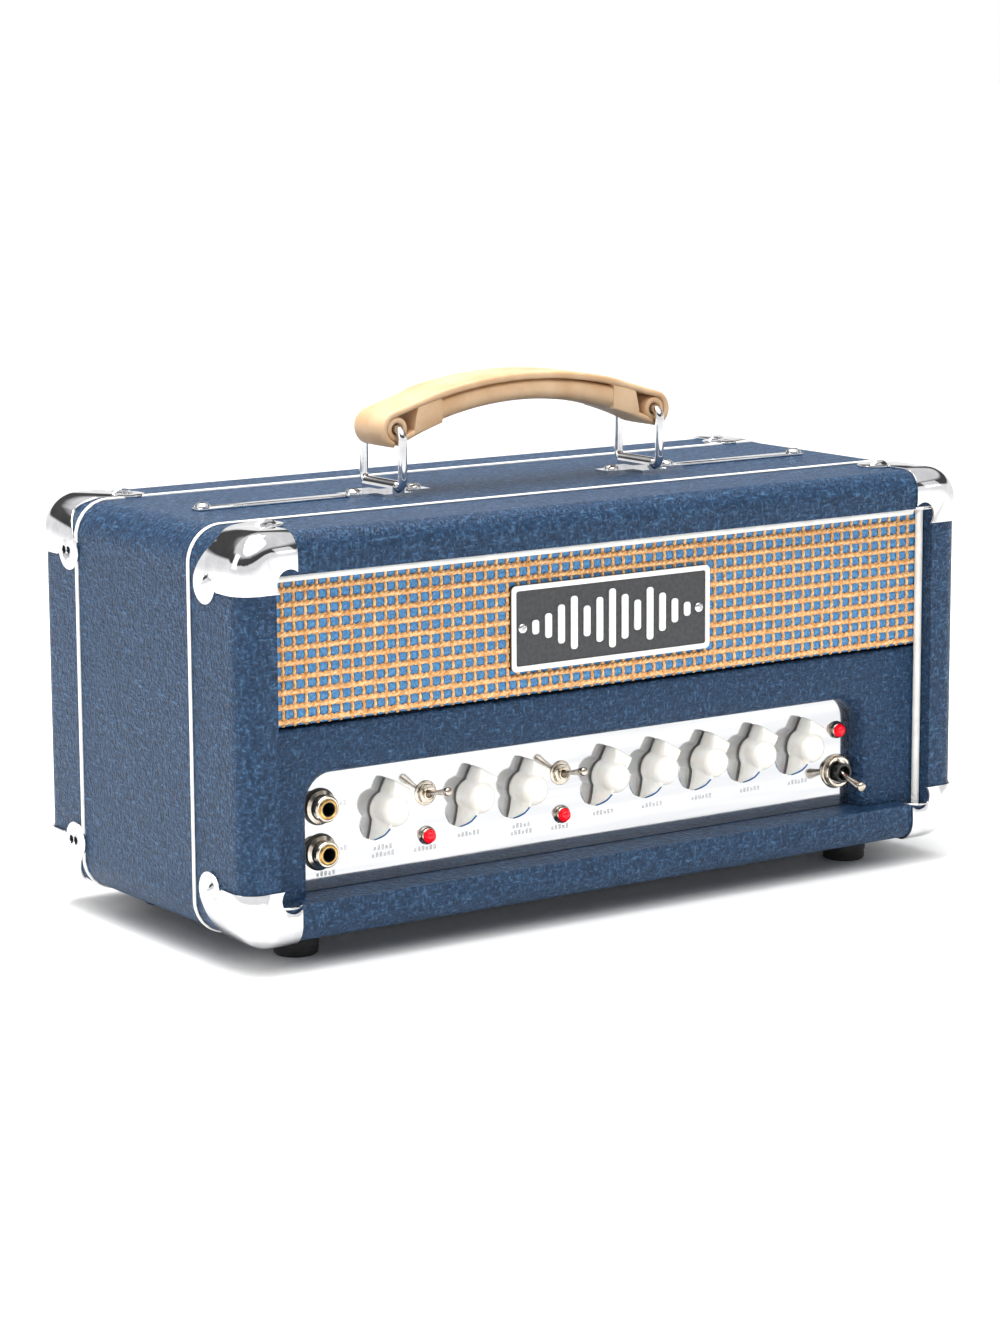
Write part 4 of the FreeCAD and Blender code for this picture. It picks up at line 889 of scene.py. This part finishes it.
def makeKnobs():
    s = knobSettings
    bm = bmesh.new()
    # the bar: stations from tail to nose as (along, half width at the base, half width at
    # the crest, crest height)
    stations = [(-13.3, 6.2, 5.2, 6.2), (-12.8, 6.7, 5.6, 8.2), (-11.0, 6.7, 5.2, 9.2),
                (-8.0, 6.4, 4.6, 9.8), (-4.0, 6.1, 4.0, 10.2), (0.0, 6.0, 3.4, 10.4),
                (3.4, 5.8, 2.4, 10.8), (6.0, 4.8, 1.3, 11.6), (8.5, 3.5, 0.8, 12.3),
                (12.0, 2.2, 0.6, 10.5), (15.0, 1.3, 0.5, 6.2), (16.5, 0.9, 0.4, 3.2)]
    rings = []
    for along, base, crest, high in stations:
        ring = []
        for side in (1, -1):
            flank = [(base, 0.3), (base, high * 0.3), ((base + crest) / 2, high * 0.72),
                     (crest, high * 0.95), (crest * 0.4, high)]
            if side < 0:
                flank.reverse()
            ring += [Vector((along * mm, side * a * mm, b * mm)) for a, b in flank]
        rings.append(ring)
    addSweep(bm, rings)
    hub, high = s["hubRadius"], s["hubHigh"]
    addTurned(bm, [(0, 0.3), (hub + 0.5, 0.3), (hub + 0.6, 2.2), (hub, 3.6), (hub - 0.5, high),
                   (hub - 1.5, high + 1.9), (hub - 2.9, high + 3.2), (hub - 5.0, s["height"] - 0.3),
                   (0, s["height"])], steps=40)
    body = meshThrough(bm, ("REMESH", {"mode": "VOXEL", "voxel_size": s["voxel"] * mm}),
                       ("SMOOTH", {"factor": 0.5, "iterations": 3}))
    # the painted line along the nose's crest
    line = bmesh.new()
    addSweep(line, alongPath([Vector((x * mm, 0, z * mm)) for x, z in
                              ((8.6, 12.1), (10.2, 11.4), (12.0, 10.3), (13.6, 8.4),
                               (15.0, 5.9), (15.9, 3.9))],
                             roundSection(0.42 * mm, 8), (0, 1, 0)))
    painted = bpy.data.meshes.new("painted")
    line.to_mesh(painted)
    line.free()
    turn = math.radians(s["noseAngle"])
    along = Vector((math.cos(turn), 0, math.sin(turn)))
    out = Vector((0, -1, 0))
    basis = Matrix((along, out.cross(along), out)).transposed().to_4x4()
    for node in [name for name in frame["nodes"] if name.startswith("knob_")]:
        shaft = knobAxes[node]
        place = Matrix.Translation(shaft) @ basis
        title = node.replace("_", "")
        addPiece(title + "Moulding", copiesOf(body, [place]), knobWhite, body=node,
                 replaces=[node], sharp=70)
        addPiece(title + "Pointer", copiesOf(painted, [place]), pointerPaint, body=node)


knobAxes = {}
for joint in frame["joints"]:
    if joint["child"].startswith("knob_"):
        pivot, low = joint["pos_m"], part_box(joint["child"])[0]
        knobAxes[joint["child"]] = Vector((pivot[0], low.y + knobSettings["height"] * mm,
                                           pivot[2]))
makeKnobs()
print("knobs moulded")


# switches, sockets and lamps of the control panel

def hexNut(across, thick, bore):
    # a chamfered six-sided nut standing on z = 0
    bm = bmesh.new()
    bmesh.ops.create_cone(bm, cap_ends=True, segments=6, radius1=across / math.sqrt(3) * mm,
                          radius2=across / math.sqrt(3) * mm, depth=thick * mm)
    bmesh.ops.translate(bm, verts=bm.verts, vec=(0, 0, thick / 2 * mm))
    rim = [edge for edge in bm.edges if abs(edge.verts[0].co.z - edge.verts[1].co.z) < 1e-6]
    bmesh.ops.bevel(bm, geom=rim, offset=0.35 * mm, segments=2, profile=0.5, affect="EDGES",
                    material=-1)
    # the thread's end stands a little proud of the nut
    addTurned(bm, [(bore, thick), (bore, thick + 0.9), (bore - 0.3, thick + 1.2),
                   (bore - 0.9, thick + 1.2), (bore - 0.9, thick - 0.3)], steps=28)
    return bm


def ringNut(outer, thick, bore):
    # a round knurled nut with a chamfer each side
    bm = bmesh.new()
    addTurned(bm, [(bore, 0), (outer - 0.4, 0), (outer, 0.4), (outer, thick - 0.4),
                   (outer - 0.4, thick), (bore + 0.4, thick), (bore, thick - 0.4), (bore, 0)],
              steps=36)
    for i in range(36):
        low = Vector((outer - 0.15, -0.28, 0.6)) * mm
        high = Vector((outer + 0.18, 0.28, thick - 0.6)) * mm
        before = len(bm.verts)
        addBlock(bm, low, high)
        bm.verts.ensure_lookup_table()
        bmesh.ops.rotate(bm, cent=(0, 0, 0), verts=bm.verts[before:],
                         matrix=Matrix.Rotation(math.tau * i / 36, 3, "Z"))
    return bm


toggleSettings = {"nutAcross": 8.6, "nutThick": 2.2, "bore": 3.0, "batRoot": 1.15,
                  "batEnd": 2.3, "ball": 2.0, "mainsRing": 8.0, "mainsThick": 3.2,
                  "mainsBore": 6.0, "mainsRoot": 1.35, "mainsEnd": 2.9, "mainsBall": 2.9,
                  "washer": 6.1, "mainsWasher": 9.0}


def makeSwitches():
    s = toggleSettings
    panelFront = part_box("front_panel")[0].y
    nuts = sorted(solidBoxes("switch_nuts"), key=lambda corners: corners[0].x)
    out = Vector((0, -1, 0))
    small = meshThrough(hexNut(s["nutAcross"], s["nutThick"], s["bore"]))
    large = meshThrough(ringNut(s["mainsRing"], s["mainsThick"], s["mainsBore"]))
    bm = bmesh.new()
    for low, high in nuts:
        at = (low + high) / 2
        at.y = panelFront
        mains = at.x > 0.1
        place = facing(out, at) @ Matrix.Rotation(0.2 if mains else 0.35, 4, "Z")
        start = len(bm.verts)
        bm.from_mesh(large if mains else small)
        bm.verts.ensure_lookup_table()
        bmesh.ops.transform(bm, matrix=place, verts=bm.verts[start:])
    addPiece("switchNuts", bm, nickel, replaces=["switch_nuts"], sharp=30)

    # bat levers: thin at the ball, swelling to a domed tip
    for node, root, tip, ball in (
            ("toggle_lever_left", s["batRoot"], s["batEnd"], s["ball"]),
            ("toggle_lever_right", s["batRoot"], s["batEnd"], s["ball"]),
            ("mains_switch_lever", s["mainsRoot"], s["mainsEnd"], s["mainsBall"])):
        pivot = next(Vector(joint["pos_m"]) for joint in frame["joints"]
                     if joint["child"] == node)
        verts = [vert.co for vert in frame["nodes"][node].data.vertices]
        furthest = max((co - pivot).length for co in verts)
        ends = [co for co in verts if (co - pivot).length > furthest - 0.6 * mm]
        end = sum(ends, Vector()) / len(ends)
        way = (end - pivot).normalized()
        reach = furthest / mm
        bm = bmesh.new()
        addTurned(bm, [(0, -ball * 0.9), (ball * 0.6, -ball * 0.75), (ball * 0.95, -ball * 0.2),
                       (ball * 0.85, ball * 0.5), (root, ball * 0.95), (root, reach * 0.4),
                       (root + (tip - root) * 0.45, reach * 0.7), (tip * 0.93, reach * 0.88),
                       (tip * 0.9, reach * 0.95), (tip * 0.6, reach * 0.99), (0, reach)],
                  facing(way, pivot), 24)
        addPiece(node.replace("_", "") + "Bat", bm, nickel, body=node,
                 replaces=[node], sharp=60)
    # washers behind the nuts, and the sockets' washers and inner contacts
    bm = bmesh.new()
    for low, high in nuts:
        at = (low + high) / 2
        at.y = panelFront
        wide = s["mainsWasher"] if at.x > 0.1 else s["washer"]
        addTurned(bm, [(wide - 1.6, 0), (wide, 0), (wide, 0.35), (wide - 0.2, 0.5),
                       (wide - 1.6, 0.5)], facing(out, at), 32)
    addPiece("switchWashers", bm, nickel)
    bm = bmesh.new()
    for low, high in solidBoxes("input_jack_nuts"):
        at = (low + high) / 2
        at.y = panelFront
        radius = (high.x - low.x) / 2 / mm
        addTurned(bm, [(4.0, 0), (radius + 0.9, 0), (radius + 0.9, 0.4), (radius + 0.6, 0.6),
                       (4.0, 0.6)], facing(out, at), 36)
    addPiece("socketWashers", bm, blackNylon)
    bm = bmesh.new()
    for low, high in solidBoxes("input_jack_nuts"):
        at = (low + high) / 2
        at.y = low.y
        addTurned(bm, [(3.25, -2.0), (3.25, 0.45), (3.6, 0.75), (4.5, 0.75), (5.0, 0.4),
                       (5.0, -0.4), (4.6, -0.6), (4.6, -2.0)], facing(out, at), 32)
    addPiece("socketBushings", bm, brass)


makeSwitches()

lampSettings = {"lensRadius": 3.2, "lensRise": 3.2, "bezelRadius": 4.4}


def makeLamps():
    s = lampSettings
    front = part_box("front_panel")[0].y
    bezels, lenses = bmesh.new(), bmesh.new()
    for low, high in solidBoxes("lamp_bezels"):
        at = (low + high) / 2
        at.y = front
        place, wide, lens = facing((0, -1, 0), at), s["bezelRadius"], s["lensRadius"]
        addTurned(bezels, [(lens - 0.1, -0.5), (lens - 0.1, 1.9), (lens + 0.35, 2.6),
                           (wide - 0.5, 2.3), (wide, 1.2), (wide + 0.2, 0.1), (wide, -0.2),
                           (lens, -0.4)], place, 32)
        addTurned(lenses, [(0, s["lensRise"] + 2.6), (lens * 0.5, s["lensRise"] + 2.25),
                           (lens * 0.85, s["lensRise"] + 1.1), (lens - 0.15, s["lensRise"] - 0.4),
                           (lens - 0.15, 0)], place, 28)
    addPiece("lampBezelRings", bezels, nickel, replaces=["lamp_bezels"])
    addPiece("lampDomes", lenses, lampRed, replaces=["lamp_lenses"])


makeLamps()

legendSettings = {"rowHeights": [48.3, 44.9], "letterTall": 2.3, "letterWide": 1.35,
                  "letterGap": 0.85}


def makeLegends():
    # short neutral bars stand where a panel has its legends
    s = legendSettings
    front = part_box("front_panel")[0].y
    bm = bmesh.new()

    def word(x, z, count):
        step = s["letterWide"] + s["letterGap"]
        for i in range(count):
            left = x + (i - count / 2) * step
            tall = s["letterTall"] * (1.0 if i % 3 else 0.72)
            addBlock(bm, (left * mm, front - 0.05 * mm, z * mm),
                     ((left + s["letterWide"]) * mm, front + 0.02 * mm, (z + tall) * mm))

    for node, axis in knobAxes.items():
        x = axis.x / mm
        for row, z in enumerate(s["rowHeights"]):
            word(x, z - 1.5, (5, 6)[row] if node in ("knob_volume", "knob_level") else (6, 0)[row])
    for x, z in ((-148.5, 71.0), (-148.5, 49.4)):
        word(x, z, 2)
    word(-158.5, 38.5, 5)
    word(-102.5, 43.0, 6)
    word(-23.5, 43.0, 5)
    addPiece("panelLegends", bm, legendInk)


makeLegends()
print("panel fittings made")


# feet: moulded rubber with a ribbed flank and a steel cup washer

footSettings = {"top": 12.0, "bottom": 10.6, "tall": 13.0}


def makeFeet():
    s = footSettings
    rubber, steel = bmesh.new(), bmesh.new()
    for low, high in solidBoxes("feet"):
        at = Vector(((low.x + high.x) / 2, (low.y + high.y) / 2, low.z))
        place, wide, base, tall = Matrix.Translation(at), s["top"], s["bottom"], s["tall"]
        addTurned(rubber, [(5.6, 4.6), (5.6, 0.7), (6.2, 0), (base - 0.9, 0), (base, 0.9),
                           (base + 0.3, 3.6), (base + 0.05, 4.0), (base + 0.05, 4.6),
                           (base + 0.45, 5.0), (base + 0.8, 8.2), (base + 0.55, 8.6),
                           (base + 0.55, 9.2), (wide - 0.15, 9.6), (wide, tall - 0.6),
                           (wide - 0.4, tall - 0.05), (0, tall - 0.05), (0, 4.6), (5.6, 4.6)],
                  place, 40)
        addTurned(steel, [(0, 4.1), (1.6, 3.7), (3.4, 3.9), (4.4, 4.7), (5.5, 4.8), (5.5, 5.2),
                          (0, 5.2)], place, 28)
    addPiece("footRubbers", rubber, blackRubber, replaces=["feet"])
    addPiece("footWashers", steel, zinc, replaces=["foot_screws"])


makeFeet()
print("feet made")


# inside and rear: transformers, valves, capacitors, board parts

transformerSettings = {"coreShare": 0.42, "sheets": 14, "sheetShare": 0.4, "coreInset": 1.2,
                       "bellRound": 7, "boltIn": 5}


def makeTransformer(node):
    # a stack of laminations with two bell covers and clamp bolts
    s = transformerSettings
    low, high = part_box(node)
    size = high - low
    bm = bmesh.new()
    mid = (low + high) / 2
    core, sheets = s["coreShare"] * size.y, s["sheets"]
    for i in range(sheets):
        y = mid.y - core / 2 + core * (i + 0.5) / sheets
        half = core / sheets * s["sheetShare"]
        addBlock(bm, (low.x, y - half, low.z), (high.x, y + half, high.z), 0.12 * mm, 1)
    inset = s["coreInset"] * mm
    addBlock(bm, (low.x + inset, mid.y - core / 2, low.z + inset),
             (high.x - inset, mid.y + core / 2, high.z - inset), 0.5 * mm)
    addPiece(node.replace("_", "") + "Core", bm, coreBlack,
             replaces=[node])
    bm = bmesh.new()
    for side in (-1, 1):
        near = mid.y + side * core / 2
        far = low.y if side < 0 else high.y
        lowCorner = Vector((low.x + 2 * mm, min(near, far), low.z + 0.5 * mm))
        highCorner = Vector((high.x - 2 * mm, max(near, far), high.z - 2 * mm))
        addBlock(bm, lowCorner, highCorner, min(abs(far - near) * 0.6, s["bellRound"] * mm), 5)
    addPiece(node.replace("_", "") + "Bells", bm, ventBlack)
    bm = bmesh.new()
    corner = s["boltIn"] * mm
    for x in (low.x + corner, high.x - corner):
        for z in (low.z + corner, high.z - corner):
            for side in (-1, 1):
                at = Vector((x, mid.y + side * core / 2, z))
                addTurned(bm, [(0, 2.4), (1.6, 2.4), (2.9, 2.2), (3.1, 1.6), (3.1, 0.3),
                               (3.8, 0.3), (3.8, -0.2), (0, -0.2)], facing((0, side, 0), at), 6)
    addPiece(node.replace("_", "") + "Bolts", bm, zinc)


for node in ("mains_transformer", "output_transformer"):
    makeTransformer(node)


def makeValves(node, plateWide, plateTall):
    # glass envelopes with a silvered crown, anode plates, mica discs and two upright rods
    bottles, plates, silver = bmesh.new(), bmesh.new(), bmesh.new()
    for low, high in solidBoxes(node):
        if high.z - low.z < 0.02:
            continue
        mid = (low + high) / 2
        radius, tall = (high.x - low.x) / 2 / mm, (high.z - low.z) / mm
        foot = Vector((mid.x, mid.y, low.z))
        place = Matrix.Translation(foot)
        r = radius - 0.05
        outside = [(r * 0.86, 0), (r, 1.6), (r, tall * 0.78), (r * 0.93, tall * 0.86),
                   (r * 0.62, tall * 0.93), (r * 0.24, tall * 0.955), (r * 0.16, tall - 0.7),
                   (0, tall)]
        inside = [(0, tall - 2.6), (r * 0.55, tall * 0.91), (r * 0.86, tall * 0.85),
                  (r - 0.8, tall * 0.77), (r - 0.8, 2.4), (0, 1.6)]
        addTurned(bottles, [(0, 0)] + outside + inside, place, 32)
        addTurned(silver, [(0, tall - 2.9), (r * 0.52, tall * 0.9), (r * 0.83, tall * 0.845),
                           (r - 1.0, tall * 0.77), (r - 1.0, tall * 0.72)], place, 32)
        wide, tallPlate = plateWide * mm, plateTall * mm
        base = foot + Vector((0, 0, 6 * mm))
        addBlock(plates, base + Vector((-wide / 2, -wide * 0.32, 0)),
                 base + Vector((wide / 2, wide * 0.32, tallPlate)), 1.2 * mm, 3)
        for z in (-0.6 * mm, tallPlate):
            addTurned(plates, [(0, 0), (r - 1.3, 0), (r - 1.3, 0.5), (0, 0.5)],
                      Matrix.Translation(base + Vector((0, 0, z))), 24, 1)
        for side in (-1, 1):
            addTurned(plates, [(0, -4), (0.5, -4), (0.5, plateTall + 2), (0, plateTall + 2)],
                      Matrix.Translation(base + Vector((0, side * wide * 0.42, 0))), 10)
    title = node.replace("_", "")
    addPiece(title + "Glass", bottles, glass, replaces=[node])
    addPiece(title + "Getter", silver, getterSilver)
    addPiece(title + "Plates", plates, [anodeGrey, ceramic])


makeValves("preamp_valves", 9, 24)
makeValves("power_valves", 10, 34)


def makeCapacitors():
    bm = bmesh.new()
    for low, high in solidBoxes("capacitors"):
        mid = (low + high) / 2
        radius, tall = (high.x - low.x) / 2 / mm, (high.z - low.z) / mm
        place = Matrix.Translation((mid.x, mid.y, low.z))
        addTurned(bm, [(0, 0), (radius - 0.6, 0), (radius, 0.6), (radius, 2.6),
                       (radius - 0.45, 3.1), (radius - 0.45, 3.7), (radius, 4.2),
                       (radius, tall - 0.6), (radius - 0.5, tall), (radius - 1.2, tall)],
                  place, 32)
        addTurned(bm, [(radius - 1.2, tall - 0.02), (radius - 1.2, tall - 0.3), (0, tall - 0.3)],
                  place, 32, 1)
    addPiece("capacitorCans", bm, [sleeveBlue, zinc],
             replaces=["capacitors"])


makeCapacitors()

boardSettings = {"columns": 17, "rows": 4, "resistorLength": 6.5, "firstColumn": 8,
                 "columnPitch": 12.3, "firstRow": 12, "rowPitch": 8.5}


def makeBoardParts():
    # rows of resistors and film capacitors stand on the component side
    s = boardSettings
    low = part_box("circuit_board")[0]
    boxes, one = bmesh.new(), bmesh.new()
    half = s["resistorLength"] / 2
    addTurned(one, [(0, -half), (0.9, -half), (1.2, -half + 0.5), (1.2, -half + 1.2),
                    (0.95, -half + 1.6), (0.95, half - 1.6), (1.2, half - 1.2),
                    (1.2, half - 0.5), (0.9, half), (0, half)], steps=10)
    resistor = meshThrough(one)
    places = []
    for i in range(s["columns"]):
        for j in range(s["rows"]):
            x = low.x + (s["firstColumn"] + i * s["columnPitch"]) * mm
            y = low.y + (s["firstRow"] + j * s["rowPitch"]) * mm
            if (i + j) % 4 == 0:
                addBlock(boxes, (x - 3 * mm, y - 1.6 * mm, low.z - 6.5 * mm),
                         (x + 3 * mm, y + 1.6 * mm, low.z), 0.5 * mm)
            else:
                places.append(facing((0, 1, 0) if j % 2 else (1, 0, 0),
                                     (x, y, low.z - 1.3 * mm)))
    addPiece("boardResistors", copiesOf(resistor, places), ceramic)
    addPiece("boardFilmCapacitors", boxes, windingTape)


makeBoardParts()


def makeInlet():
    # the recessed mains inlet's three blades and its two screws
    low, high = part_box("mains_inlet")
    mid = (low + high) / 2
    screws, blades = bmesh.new(), bmesh.new()
    for x, z in ((-7, -2.0), (0, 2.4), (7, -2.0)):
        at = Vector((mid.x + x * mm, high.y - 15 * mm, mid.z + z * mm))
        addBlock(blades, at - Vector((1 * mm, 0, 2 * mm)), at + Vector((1 * mm, 12 * mm, 2 * mm)),
                 0.35 * mm)
    addPiece("inletBlades", blades, nickel)
    for x in (-20, 20):
        addTurned(screws, [(0, 1.1), (1.4, 1.0), (2.6, 0.5), (2.8, 0), (0, 0)],
                  facing((0, 1, 0), (mid.x + x * mm, high.y, mid.z)), 20)
    addPiece("inletScrews", screws, zinc)
    # the speaker sockets' hexagon nuts
    nuts = bmesh.new()
    for low, high in solidBoxes("speaker_jacks"):
        if high.y < 0.07:
            continue
        at = Vector(((low.x + high.x) / 2, 0, (low.z + high.z) / 2))
        at.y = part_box("chassis_tray")[1].y
        addTurned(nuts, [(4.9, 0), (7.4, 0), (7.8, 0.3), (7.8, 2.0), (7.4, 2.3), (4.9, 2.3)],
                  facing((0, 1, 0), at), 6)
    addPiece("speakerSocketNuts", nuts, nickel)


makeInlet()
print("inside and rear made")
